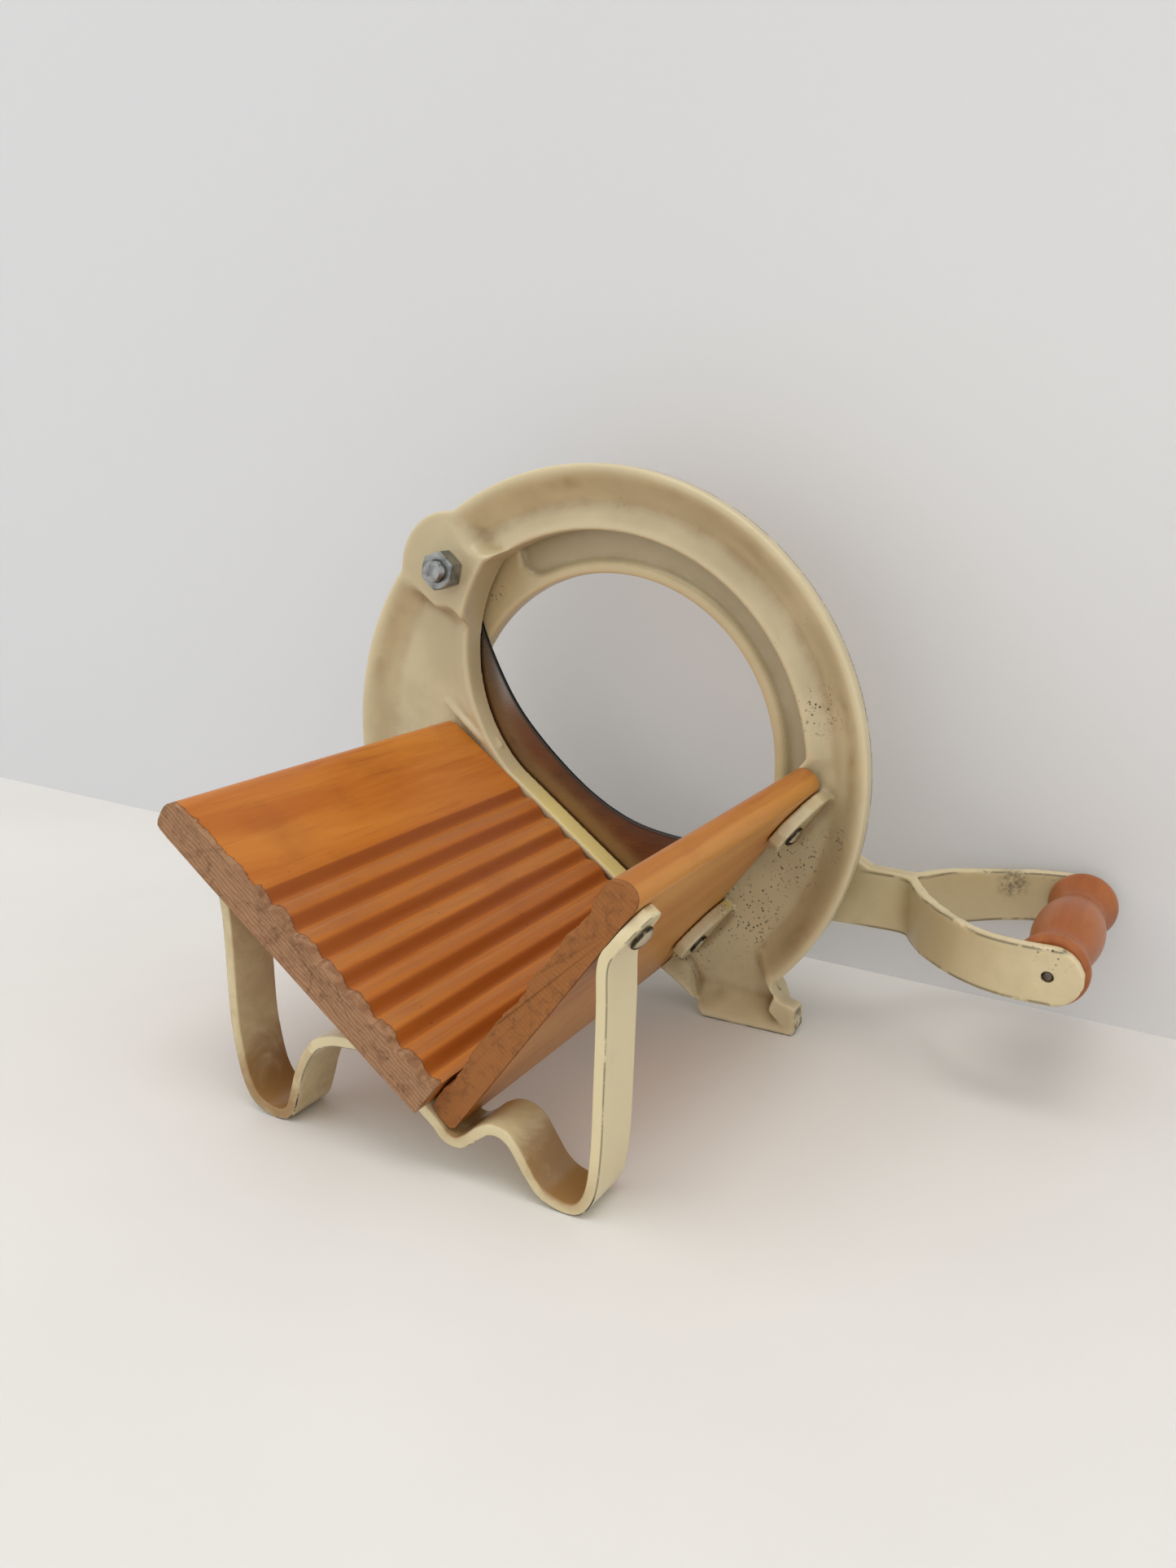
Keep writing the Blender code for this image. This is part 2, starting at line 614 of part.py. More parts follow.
# ---- knife arm ----
def build_knife_arm():
    steps = 44
    bm = bmesh.new()
    loops = []
    for i in range(steps + 1):
        a = math.radians(ARM_START + (ARM_END - ARM_START) * i / steps)
        c = math.cos(a)
        s = math.sin(a)
        section = [
            (ARM_IN_R, ARM_FRONT + 0.5), (ARM_IN_R + 0.6, ARM_FRONT), (ARM_IN_R + ARM_RIM - 0.8, ARM_FRONT),
            (ARM_IN_R + ARM_RIM + 1.2, ARM_WEB_FRONT), (ARM_OUT_R - ARM_RIM - 1.2, ARM_WEB_FRONT),
            (ARM_OUT_R - ARM_RIM + 0.8, ARM_FRONT), (ARM_OUT_R - 0.6, ARM_FRONT),
            (ARM_OUT_R, ARM_FRONT + 0.6), (ARM_OUT_R, ARM_BACK - 0.6), (ARM_OUT_R - 0.6, ARM_BACK),
            (ARM_IN_R + 0.6, ARM_BACK), (ARM_IN_R, ARM_BACK - 0.6),
        ]
        loops.append([(r * c, y, RING_Z + r * s) for r, y in section])
    loft(bm, loops, False)
    arm = finish(bm, "knife_arm", CREAM, 0.45, 0.0, origin=(PIVOT[0], 0.0, PIVOT[1]), sharp=40.0)

    bm = bmesh.new()
    profile = [
        (0.0, ARM_FRONT), (ARM_BOSS_R - 1.0, ARM_FRONT), (ARM_BOSS_R, ARM_FRONT + 1.0),
        (ARM_BOSS_R, ARM_BACK), (0.0, ARM_BACK),
    ]
    turned(bm, profile, (PIVOT[0], 0.0, PIVOT[1]), (0.0, 1.0, 0.0), 40)
    combine(arm, finish(bm, "guide_arm_boss", CREAM, 0.45, 0.0), "UNION")

    for name, degrees in (("low", ARM_START), ("high", ARM_END)):
        a = math.radians(degrees)
        r = 0.5 * (ARM_IN_R + ARM_OUT_R)
        half = 0.5 * (ARM_OUT_R - ARM_IN_R) - 0.05
        profile = [
            (0.0, ARM_FRONT), (half - 0.6, ARM_FRONT), (half, ARM_FRONT + 0.6),
            (half, ARM_BACK), (0.0, ARM_BACK),
        ]
        bm = bmesh.new()
        turned(bm, profile, (r * math.cos(a), 0.0, RING_Z + r * math.sin(a)), (0.0, 1.0, 0.0), 24)
        combine(arm, finish(bm, "guide_arm_end_" + name, CREAM, 0.45, 0.0), "UNION")

    middle = 0.5 * (ARM_FRONT + ARM_BACK)
    for side in (-1.0, 1.0):
        path = [
            (80.0, middle + side * 1.3), (104.0, middle + side * 1.3), (113.0, middle + side * 1.5),
            (117.6, middle + side * 3.6), (120.4, middle + side * 8.6), (124.2, middle + side * 14.6),
            (129.4, middle + side * 20.4), (135.4, middle + side * 26.0), (142.4, middle + side * 31.2),
            (151.0, middle + side * 35.4),
        ]
        past_pin = (160.0 - HANDLE_X, 0.0, 4.5, 7.6, 9.3, FORK_END)
        path += [(HANDLE_X + d, middle + side * FORK_HALF) for d in past_pin]
        curve = spline(path, 3)
        left, right = offset_path(curve, FORK_T / 2.0)
        bm = bmesh.new()
        loops = []
        for p, a, b in zip(curve, left, right):
            blend = smoothstep(108.0, 146.0, p.x)
            half = 0.5 * (ROOT_H + (FORK_H - ROOT_H) * blend)
            mid = ROOT_Z + (HANDLE_Z - ROOT_Z) * blend
            past = max(0.0, p.x - HANDLE_X - 0.6) / (FORK_END - 0.6)
            half *= math.sqrt(max(1.0 - past * past, 0.06))
            low = mid - half
            high = mid + half
            loops.append([(a.x, a.y, low), (b.x, b.y, low), (b.x, b.y, high), (a.x, a.y, high)])
        loft(bm, loops, False)
        strap = finish(bm, "guide_fork_" + ("f" if side < 0 else "b"), CREAM, 0.45, 0.0)
        combine(arm, strap, "UNION")

    low = ROOT_Z - ROOT_H / 2.0 + 0.2
    high = ROOT_Z + ROOT_H / 2.0 - 0.2
    root = [(74.0, 38.0), (104.0, low), (118.2, low), (118.2, high)]
    root += [(102.0, high + 0.8), (88.0, 68.0), (74.0, 70.0)]
    bm = bmesh.new()
    prism_xz(bm, root, ARM_FRONT + 0.2, ARM_BACK - 0.2)
    combine(arm, finish(bm, "guide_root", CREAM, 0.45, 0.0), "UNION")

    axis = (0.0, 1.0, 0.0)
    centre = (PIVOT[0], 0.0, PIVOT[1])
    bolt_hole = cylinder_tool("guide_arm_hole", centre, axis, BOLT_R + GAP, 10.0, 40.0, 24)
    combine(arm, bolt_hole, "DIFFERENCE")
    pin_hole = cylinder_tool("guide_pin_hole", (HANDLE_X, 0.0, HANDLE_Z), axis, PIN_R + GAP, -60.0, 90.0)
    combine(arm, pin_hole, "DIFFERENCE")
    for i, (x, z) in enumerate(RIVETS):
        tool = cylinder_tool("guide_arm_rivet_%d" % (i + 1), (x, 0.0, z), axis, RIVET_R + GAP, 10.0, 40.0)
        combine(arm, tool, "DIFFERENCE")
    return arm


# ---- blade ----
def build_blade():
    spine = spline(SPINE, 5)
    edge = spline(EDGE, 5)
    bm = bmesh.new()
    loops = []
    for a, b in zip(spine, edge):
        across = b - a
        bevel_start = a + across * 0.86
        loops.append([
            (a.x, BLADE_FRONT, a.y), (bevel_start.x, BLADE_FRONT, bevel_start.y),
            (b.x, BLADE_BACK - 0.35, b.y), (b.x, BLADE_BACK, b.y), (a.x, BLADE_BACK, a.y),
        ])
    loft(bm, loops, False)
    blade = finish(bm, "blade", STEEL, 0.22, 1.0, origin=(PIVOT[0], 0.0, PIVOT[1]), sharp=8.0)
    for i, (x, z) in enumerate(RIVETS):
        name = "guide_blade_rivet_%d" % (i + 1)
        tool = cylinder_tool(name, (x, 0.0, z), (0.0, 1.0, 0.0), RIVET_R + GAP, 10.0, 40.0)
        combine(blade, tool, "DIFFERENCE")
    return blade


def build_rivets():
    for i, (x, z) in enumerate(RIVETS):
        profile = [
            (0.0, BLADE_FRONT + 0.1), (RIVET_R, BLADE_FRONT + 0.1), (RIVET_R, ARM_BACK + GAP),
            (4.0, ARM_BACK + GAP),
            (3.6, ARM_BACK + 1.3), (2.4, ARM_BACK + 2.1), (1.0, ARM_BACK + 2.4), (0.0, ARM_BACK + 2.45),
        ]
        bm = bmesh.new()
        turned(bm, profile, (x, 0.0, z), (0.0, 1.0, 0.0), 14)
        finish(bm, "blade_rivet_%d" % (i + 1), ZINC, 0.4, 1.0, origin=(x, ARM_FRONT, z))


# ---- pivot hardware ----
def hexagon(flats, y, turn):
    r = flats / math.sqrt(3.0)
    return [
        (PIVOT[0] + r * math.cos(math.radians(60.0 * i + turn)), y,
         PIVOT[1] + r * math.sin(math.radians(60.0 * i + turn)))
        for i in range(6)
    ]


def build_pivot():
    axis = (0.0, 1.0, 0.0)
    centre = (PIVOT[0], 0.0, PIVOT[1])
    head_y = ARM_BACK + 2.4
    tip_y = -NUT_H - 3.6

    bm = bmesh.new()
    loft(bm, [hexagon(NUT_FLATS - 1.0, head_y, 0.0), hexagon(NUT_FLATS, head_y + 0.6, 0.0),
              hexagon(NUT_FLATS, head_y + 4.6, 0.0), hexagon(NUT_FLATS - 1.2, head_y + 5.3, 0.0)], False)
    bolt = finish(bm, "pivot_bolt", ZINC, 0.35, 1.0, origin=centre)
    profile = [
        (0.0, tip_y), (BOLT_R - 0.9, tip_y), (BOLT_R, tip_y + 0.9),
        (BOLT_R, head_y + 1.0), (0.0, head_y + 1.0),
    ]
    bm = bmesh.new()
    turned(bm, profile, centre, axis, 24)
    combine(bolt, finish(bm, "guide_bolt_shank", ZINC, 0.35, 1.0), "UNION")

    bm = bmesh.new()
    front = -0.5 - NUT_H
    loft(bm, [hexagon(NUT_FLATS - 1.2, front, NUT_TURN), hexagon(NUT_FLATS, front + 0.7, NUT_TURN),
              hexagon(NUT_FLATS, -1.1, NUT_TURN), hexagon(NUT_FLATS - 1.0, -0.5, NUT_TURN)], False)
    nut = finish(bm, "pivot_nut", ZINC, 0.35, 1.0, origin=centre)
    combine(nut, cylinder_tool("guide_nut_hole", centre, axis, BOLT_R + 0.25, -20.0, 20.0, 24), "DIFFERENCE")

    bm = bmesh.new()
    sleeve(bm, tube_profile(BOLT_R + 0.35, 10.0, FRAME_BACK + 0.3, ARM_FRONT - 0.3), centre, axis, 20)
    finish(bm, "pivot_spacer", ZINC, 0.4, 1.0, origin=centre)

    bm = bmesh.new()
    sleeve(bm, tube_profile(BOLT_R + 0.35, 9.0, ARM_BACK + 0.3, ARM_BACK + 2.0), centre, axis, 20)
    finish(bm, "pivot_washer", ZINC, 0.4, 1.0, origin=centre)


# ---- handle ----
def build_handle():
    middle = 0.5 * (ARM_FRONT + ARM_BACK)
    reach = FORK_HALF - FORK_T / 2.0 - 0.5
    half = [
        (11.2, 2.0), (10.9, 6.5), (9.9, 12.0), (8.7, 17.0), (8.3, 20.0), (8.6, 23.0),
        (10.0, 27.0), (11.1, 29.8), (11.5, 31.8), (11.2, 33.6), (10.2, reach),
    ]
    outside = [(r, middle - t) for r, t in reversed(half)]
    outside += [(r, middle + t) for r, t in half]
    bore = [(1.95, middle + reach), (1.95, middle - reach)]
    bm = bmesh.new()
    sleeve(bm, outside + bore, (HANDLE_X, 0.0, HANDLE_Z), (0.0, 1.0, 0.0), 22)
    finish(bm, "handle_roller", REDWOOD, 0.5, 0.0, origin=(HANDLE_X, middle, HANDLE_Z), sharp=40.0)

    outer = FORK_HALF + FORK_T / 2.0
    profile = [
        (0.0, middle - outer + 0.6), (1.2, middle - outer + 0.6), (PIN_R, middle - outer + 1.0),
        (PIN_R, middle + outer + 0.4), (2.9, middle + outer + 0.4), (2.6, middle + outer + 1.4),
        (0.0, middle + outer + 1.8),
    ]
    bm = bmesh.new()
    turned(bm, profile, (HANDLE_X, 0.0, HANDLE_Z), (0.0, 1.0, 0.0), 14)
    finish(bm, "roller_pin", STEEL, 0.4, 1.0, origin=(HANDLE_X, middle, HANDLE_Z))


def main():
    clear_scene()
    build_frame()
    build_left_board()
    build_right_board()
    build_leg_strap()
    for name, e, m, y in SCREWS:
        build_screw(name, e, m, y, LUG_T)
    for name, e, m, y in LEG_SCREWS:
        build_screw(name, e, m, y, STRAP_T + GAP)
    build_knife_arm()
    build_blade()
    build_rivets()
    build_pivot()
    build_handle()


main()
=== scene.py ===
"""Looks of the hand bread slicer: enamelled castings, varnished boards, steel and nickel-plated screws.

Shapes are written in the design's millimetres (x from the ring's centre, y from the lip's front, z from the
table) and moved into the frame's metres by world().
"""

import math

import bmesh
import bpy
import numpy as np
from mathutils import Matrix, Vector, noise

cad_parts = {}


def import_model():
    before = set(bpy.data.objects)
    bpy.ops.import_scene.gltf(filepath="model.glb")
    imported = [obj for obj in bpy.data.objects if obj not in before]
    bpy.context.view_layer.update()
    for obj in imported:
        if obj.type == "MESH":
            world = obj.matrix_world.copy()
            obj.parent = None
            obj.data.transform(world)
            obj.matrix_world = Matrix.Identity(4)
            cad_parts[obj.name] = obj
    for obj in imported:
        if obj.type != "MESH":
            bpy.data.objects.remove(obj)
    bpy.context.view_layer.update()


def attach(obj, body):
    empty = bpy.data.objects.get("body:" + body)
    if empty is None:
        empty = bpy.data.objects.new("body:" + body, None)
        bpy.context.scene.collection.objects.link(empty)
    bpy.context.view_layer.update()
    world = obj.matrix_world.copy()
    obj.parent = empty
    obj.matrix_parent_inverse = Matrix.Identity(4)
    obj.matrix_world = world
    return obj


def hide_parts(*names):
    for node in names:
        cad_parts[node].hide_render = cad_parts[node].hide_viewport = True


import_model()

MM = 0.001
DATUM = Vector((37.0, -36.85, 0.0))
Y_AXIS = (0.0, 1.0, 0.0)

# ---- the frame casting, millimetres ----
RING_Z = 91.3
RING_R = 105.0
OPENING_R = 82.0
FRAME_BACK = 15.6
RIM_DEPTH = 6.4
COLLAR_FRONT = 5.5
FLOOR_DEPTH = 8.8
LEFT_RISE = 1.8
BOSS_FROM = 125.0
BOSS_TO = 142.0
LEFT_ARC = (4.6, 124.4)
LEFT_ARC_R = 60.5
ARCH_TOP = 24.0
ARCH_FALL = 0.0089
FOOT = (
    (75.4, 19.1), (74.3, 16.4), (76.2, 13.2), (83.6, 5.4), (84.2, 3.0), (82.6, 0.0), (48.3, 0.0), (43.9, 8.2),
)
TOE = ((75.2, 13.0), (79.0, 11.8), (83.2, 10.8), (84.2, 9.4), (84.2, 2.6), (80.0, 2.0), (73.5, 8.0))
TOE_DEPTH = 7.6
SLOPE = 37.0
TROUGH_LIFT = 2.55
LEDGE_M = 40.0
LEFT_TOP_M = 39.0
LEFT_BOTTOM_M = 27.0
LEFT_TIP_E = -111.0
BOARD_JOINT_E = 6.7
RIGHT_IN_E = 7.0
RIGHT_OUT_E = 17.0
RIGHT_BOTTOM_M = 27.0
RIGHT_TOP_M = 125.0
LEFT_FRONT_Y = -136.0
RIGHT_FRONT_Y = -129.6
BOARD_BACK_Y = 5.2
FLUTE_PITCH = 11.4
FLUTE_DEPTH = 1.8
FLUTE_FIRST_E = -66.0
STRAP_T = 3.4
STRAP_W = 17.0
STRAP_FRONT_Y = -130.4
PIVOT = (-60.0, 157.6)
BOSS_R = 21.7
ARM_FRONT = 18.0
ARM_BACK = 25.0
ARM_IN_R = 65.9
ARM_OUT_R = 93.0
ARM_RIM = 4.4
ARM_WEB_FRONT = 20.6
ARM_START = -58.0
ARM_END = 152.0
RECESS_END = 113.0
ROOT_Z = 49.2
ROOT_H = 21.0
FORK_HALF = 37.1
FORK_T = 3.8
FORK_H = 18.6
FORK_END = 10.2
HANDLE_X = 167.6
HANDLE_Z = 47.1
BLADE_FRONT = 16.1
BLADE_BACK = 17.7
SPINE = (
    (-58.0, 144.6), (-53.4, 129.4), (-39.2, 103.8), (-17.2, 81.6), (4.3, 67.6), (26.0, 61.8), (60.0, 60.4),
)
EDGE = (
    (-72.5, 144.6), (-68.5, 116.0), (-57.0, 88.0), (-36.0, 61.5), (-9.0, 41.0), (18.0, 28.0), (44.0, 23.5),
)
GAP = 0.3                   # clearance between neighbouring pieces
BOLT_R = 4.0
BOLT_HEAD_H = 5.3
BOLT_PAST_NUT = 3.6
THREAD_PITCH = 1.25
THREAD_DEPTH = 0.42
RIVET_HOLE_R = 2.4
PIN_HOLE_R = 1.9
NUT_FLATS = 13.0
NUT_H = 6.4
ARM_MIDDLE = 0.5 * (ARM_FRONT + ARM_BACK)
PIVOT_3D = (PIVOT[0], 0.0, PIVOT[1])
SLOPE_COS = math.cos(math.radians(SLOPE))
SLOPE_SIN = math.sin(math.radians(SLOPE))


# ---- helpers ----
def world(x, y, z):
    """Design millimetres to world metres."""
    return (Vector((x, y, z)) - DATUM) * MM


def smoothstep(a, b, x):
    """0 up to a, 1 from b, with a smooth rise between them."""
    t = min(1.0, max(0.0, (x - a) / (b - a)))
    return t * t * (3.0 - 2.0 * t)


def from_slope(e, m):
    """Trough coordinates (e along the left board, m along the right one) to the design's x and z."""
    return (SLOPE_COS * e + SLOPE_SIN * m, -SLOPE_SIN * e + SLOPE_COS * m + TROUGH_LIFT)


def spline(points, per_span):
    """Catmull-Rom curve through the points."""
    out = []
    last = len(points) - 1
    for i in range(last):
        p0 = Vector(points[max(i - 1, 0)])
        p1 = Vector(points[i])
        p2 = Vector(points[i + 1])
        p3 = Vector(points[min(i + 2, last)])
        for k in range(per_span):
            t = k / per_span
            a = 2.0 * p1
            b = (p2 - p0) * t
            c = (2.0 * p0 - 5.0 * p1 + 4.0 * p2 - p3) * t * t
            d = (3.0 * p1 - p0 - 3.0 * p2 + p3) * t * t * t
            out.append(0.5 * (a + b + c + d))
    out.append(Vector(points[last]))
    return out


def with_normals(curve):
    """Each point of a flat curve with the unit normal there."""
    last = len(curve) - 1
    for i, p in enumerate(curve):
        tangent = (curve[min(i + 1, last)] - curve[max(i - 1, 0)]).normalized()
        yield p, Vector((-tangent.y, tangent.x))


def link(name, data):
    """Make an object of the data and put it in the scene."""
    obj = bpy.data.objects.new(name, data)
    bpy.context.scene.collection.objects.link(obj)
    return obj


def new_object(name, bm):
    """A bmesh in design millimetres becomes an object in the frame's metres."""
    bmesh.ops.remove_doubles(bm, verts=bm.verts, dist=0.0004)
    bmesh.ops.recalc_face_normals(bm, faces=bm.faces)
    bm.transform(Matrix.Scale(MM, 4) @ Matrix.Translation(-DATUM))
    mesh = bpy.data.meshes.new(name)
    bm.to_mesh(mesh)
    bm.free()
    mesh.shade_smooth()
    return link(name, mesh)


def loft(bm, loops, closed):
    """Skin a row of equal loops; it either closes on itself or gets a cap at each end."""
    rings = [[bm.verts.new(p) for p in loop] for loop in loops]
    count = len(rings[0])
    pairs = list(zip(rings, rings[1:]))
    if closed:
        pairs.append((rings[-1], rings[0]))
    for a, b in pairs:
        for i in range(count):
            j = (i + 1) % count
            bm.faces.new((a[i], a[j], b[j], b[i]))
    if not closed:
        bm.faces.new(list(reversed(rings[0])))
        bm.faces.new(rings[-1])


def wrap(bm, lines):
    """Skin a ring of equal open lines, the last one back to the first."""
    rings = [[bm.verts.new(p) for p in line] for line in lines]
    for a, b in zip(rings, rings[1:] + rings[:1]):
        for i in range(len(a) - 1):
            bm.faces.new((a[i], a[i + 1], b[i + 1], b[i]))
    return rings


def lathe(bm, profile, centre, axis, steps):
    """Turn an open (radius, height) profile that starts and ends on the axis."""
    ax = Vector(axis).normalized()
    side = ax.orthogonal().normalized()
    base = Vector(centre)
    lines = []
    for i in range(steps):
        turn = Matrix.Rotation(2.0 * math.pi * i / steps, 3, ax)
        lines.append([base + turn @ side * r + ax * h for r, h in profile])
    wrap(bm, lines)
    bmesh.ops.remove_doubles(bm, verts=bm.verts, dist=0.0002)


def lofted(name, loops, closed=False):
    bm = bmesh.new()
    loft(bm, loops, closed)
    return new_object(name, bm)


def turned(name, profile, centre=PIVOT_3D, axis=Y_AXIS, steps=48):
    bm = bmesh.new()
    lathe(bm, profile, centre, axis, steps)
    return new_object(name, bm)


def rod(name, x, z, radius, y0, y1):
    """Solid rod along Y."""
    return turned(name, [(0.0, y0), (radius, y0), (radius, y1), (0.0, y1)], (x, 0.0, z))


def apply_modifiers(obj):
    bpy.context.view_layer.update()
    graph = bpy.context.evaluated_depsgraph_get()
    mesh = bpy.data.meshes.new_from_object(obj.evaluated_get(graph))
    obj.modifiers.clear()
    old = obj.data
    obj.data = mesh
    bpy.data.meshes.remove(old)
    mesh.shade_smooth()


def cut(obj, tools, operation="DIFFERENCE"):
    for tool in tools:
        mod = obj.modifiers.new("cut", "BOOLEAN")
        mod.operation = operation
        mod.solver = "MANIFOLD"
        mod.object = tool
    apply_modifiers(obj)
    for tool in tools:
        bpy.data.objects.remove(tool, do_unlink=True)


def cast(obj, voxel, passes, tools=()):
    """Fuse overlapping solids into one skin and soften it as a casting is, then cut the crisp holes."""
    mod = obj.modifiers.new("skin", "REMESH")
    mod.mode = "VOXEL"
    mod.voxel_size = voxel * MM
    mod.use_smooth_shade = True
    mod = obj.modifiers.new("soften", "SMOOTH")
    mod.factor = 0.5
    mod.iterations = passes
    apply_modifiers(obj)
    if tools:
        cut(obj, tools)


def dome(radius, height, base, degrees):
    """Profile of a domed head, from its rim toward its top."""
    turns = [math.radians(a) for a in degrees]
    return [(radius * math.cos(a), base + height * math.sin(a)) for a in turns]


def sharpen(obj, degrees):
    obj.data.set_sharp_from_angle(angle=math.radians(degrees))


def edge_round(obj, width):
    mod = obj.modifiers.new("edge_round", "BEVEL")
    mod.width = width * MM
    mod.segments = 2
    mod.limit_method = "ANGLE"
    mod.angle_limit = math.radians(30.0)
    mod.harden_normals = False
    apply_modifiers(obj)


def dress(obj, mat, body, node):
    """Give a piece its one material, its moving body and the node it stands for."""
    obj.data.materials.clear()
    obj.data.materials.append(mat)
    obj.data.polygons.foreach_set("material_index", [0] * len(obj.data.polygons))
    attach(obj, body)
    if node:
        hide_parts(node)


def vertex_vectors(obj, kind):
    """The mesh's vertex positions ('co') or normals ('normal') as an array of rows."""
    vertices = obj.data.vertices
    values = np.zeros(len(vertices) * 3, np.float32)
    vertices.foreach_get(kind, values)
    return values.reshape(-1, 3)


def design_points(obj):
    return vertex_vectors(obj, "co") / MM + np.array(DATUM, np.float32)


def slope_of(co):
    """Trough coordinates of an array of design points."""
    height = co[:, 2] - TROUGH_LIFT
    return SLOPE_COS * co[:, 0] - SLOPE_SIN * height, SLOPE_SIN * co[:, 0] + SLOPE_COS * height


def finish_turned(obj, sharp, mat, body, node):
    """Sharp edges above an angle, worn looks and the piece's labels, for small turned parts."""
    sharpen(obj, sharp)
    paint_curvature(obj, 1)
    dress(obj, mat, body, node)


def fade(values, start, end):
    """Straight change from 0 at start to 1 at end, for an array."""
    return np.clip((values - start) / (end - start), 0.0, 1.0)


def bell(values, middle, width):
    """1 at the middle, falling off to both sides, for an array."""
    return np.exp(-((values - middle) / width) ** 2)


def store(obj, name, values):
    mesh = obj.data
    layer = mesh.attributes.get(name) or mesh.attributes.new(name, "FLOAT", "POINT")
    layer.data.foreach_set("value", np.clip(values, 0.0, 1.0).astype(np.float32))


def paint_curvature(obj, blur=6, gain=1.0):
    """Store how convex (edge) and how hollow (dirt) the surface is at each vertex, and the broad convexity
    that the enamel lightens as painted highlight.
    """
    mesh = obj.data
    count = len(mesh.vertices)
    co = design_points(obj)
    normal = vertex_vectors(obj, "normal")
    pairs = np.zeros(len(mesh.edges) * 2, np.int32)
    mesh.edges.foreach_get("vertices", pairs)
    pairs = pairs.reshape(-1, 2)
    a, b = pairs[:, 0], pairs[:, 1]
    degree = np.bincount(a, minlength=count) + np.bincount(b, minlength=count)
    degree = np.maximum(degree, 1)

    def mean(values):
        total = np.zeros(values.shape, np.float64)
        if values.ndim == 1:
            total = np.bincount(a, values[b], count) + np.bincount(b, values[a], count)
            return total / degree
        for k in range(values.shape[1]):
            total[:, k] = mean(values[:, k])
        return total

    soft = co.astype(np.float64)
    for _ in range(3):
        soft = mean(soft)
    fine = np.einsum("ij,ij->i", normal, co - soft)
    for _ in range(14):
        soft = mean(soft)
    wide = np.einsum("ij,ij->i", normal, co - soft)
    for _ in range(blur):
        wide = mean(wide)
    store(obj, "edge", fine * 2.2 * gain)
    store(obj, "dirt", -wide * 1.6 * gain)
    # the broad convexity, lightened by the enamel as painted highlight
    store(obj, "convex_highlight", wide * 1.2 * gain)


# ---- materials ----
class Shader:
    """A node material built from short calls; each call returns the socket it makes."""

    def __init__(self, name):
        self.mat = bpy.data.materials.new(name)
        self.mat.use_nodes = True
        self.tree = self.mat.node_tree
        self.bsdf = self.tree.nodes["Principled BSDF"]
        coords = self.tree.nodes.new("ShaderNodeTexCoord")
        self.place = coords.outputs["Object"]

    def node(self, kind, feeds=(), **settings):
        item = self.tree.nodes.new(kind)
        for key, value in settings.items():
            setattr(item, key, value)
        for key, value in feeds:
            self.feed(item.inputs[key], value)
        return item

    def feed(self, socket, value):
        if isinstance(value, bpy.types.NodeSocket):
            self.tree.links.new(value, socket)
        elif isinstance(value, tuple) and len(value) == 3 and socket.type == "RGBA":
            socket.default_value = (*value, 1.0)
        else:
            socket.default_value = value

    def noise(self, scale, detail=4.0, rough=0.55, warp=0.0, where=None):
        feeds = [("Vector", where or self.place), ("Scale", scale), ("Detail", detail)]
        feeds += [("Roughness", rough), ("Distortion", warp)]
        return self.node("ShaderNodeTexNoise", feeds).outputs["Fac"]

    def cells(self, scale):
        feeds = (("Vector", self.place), ("Scale", scale))
        return self.node("ShaderNodeTexVoronoi", feeds).outputs["Distance"]

    def stretch(self, scale, turn=(0.0, 0.0, 0.0), where=None):
        feeds = (("Vector", where or self.place), ("Rotation", turn), ("Scale", scale))
        return self.node("ShaderNodeMapping", feeds).outputs["Vector"]

    def ramp(self, value, low, high, to_low=0.0, to_high=1.0):
        feeds = [("Value", value), ("From Min", low), ("From Max", high)]
        feeds += [("To Min", to_low), ("To Max", to_high)]
        return self.node("ShaderNodeMapRange", feeds, interpolation_type="SMOOTHSTEP").outputs["Result"]

    def math(self, how, a, b=0.0):
        return self.node("ShaderNodeMath", ((0, a), (1, b)), operation=how).outputs[0]

    def times(self, a, b):
        return self.math("MULTIPLY", a, b)

    def mix(self, factor, a, b):
        feeds = (("Factor", factor), (6, a), (7, b))
        return self.node("ShaderNodeMix", feeds, data_type="RGBA").outputs[2]

    def painted(self, name):
        return self.node("ShaderNodeAttribute", attribute_name=name).outputs["Fac"]

    def near(self, point, radius):
        """1 at a point of the design, falling to 0 at the radius."""
        feeds = ((0, self.place), (1, world(*point)))
        item = self.node("ShaderNodeVectorMath", feeds, operation="DISTANCE")
        return self.ramp(item.outputs["Value"], radius * MM, radius * MM * 0.25)

    def bump(self, height, depth, under=None):
        feeds = [("Strength", 1.0), ("Distance", depth * MM), ("Height", height)]
        if under is not None:
            feeds.append(("Normal", under))
        return self.node("ShaderNodeBump", feeds).outputs["Normal"]

    def layers(self, colour, *coats):
        """Lay coats over a colour, each one a mask and its own colour."""
        for mask, coat in coats:
            colour = self.mix(mask, colour, coat)
        return colour

    def finish(self, colour, rough, *feeds):
        for key, value in (("Base Color", colour), ("Roughness", rough), *feeds):
            self.feed(self.bsdf.inputs[key], value)
        return self.mat


def rgb(r, g, b):
    """sRGB bytes to a linear colour."""
    def one(v):
        v /= 255.0
        return v / 12.92 if v <= 0.04045 else ((v + 0.055) / 1.055) ** 2.4
    return (one(r), one(g), one(b))


IRON = rgb(46, 38, 30)
WALL = rgb(212, 213, 216)
SKY = 1.12
SUN = 1.05
SUN_TO = (-0.16, 0.05, -1.0)
SUN_SPREAD = 40.0
FLOOR_HALF = 12.0            # metres
CAMERA_AT = (215.0, -378.8, 193.5)
CAMERA_LENS = 28.03
CAMERA_FORWARD = (-0.47677, 0.84323, -0.24832)
CAMERA_UP = (-0.12057, 0.21709, 0.96868)
CHIP_FROM = 1.05            # how worn an edge must be before its enamel chips
PIT_DEPTH = 0.3             # how dark the scattered pits are


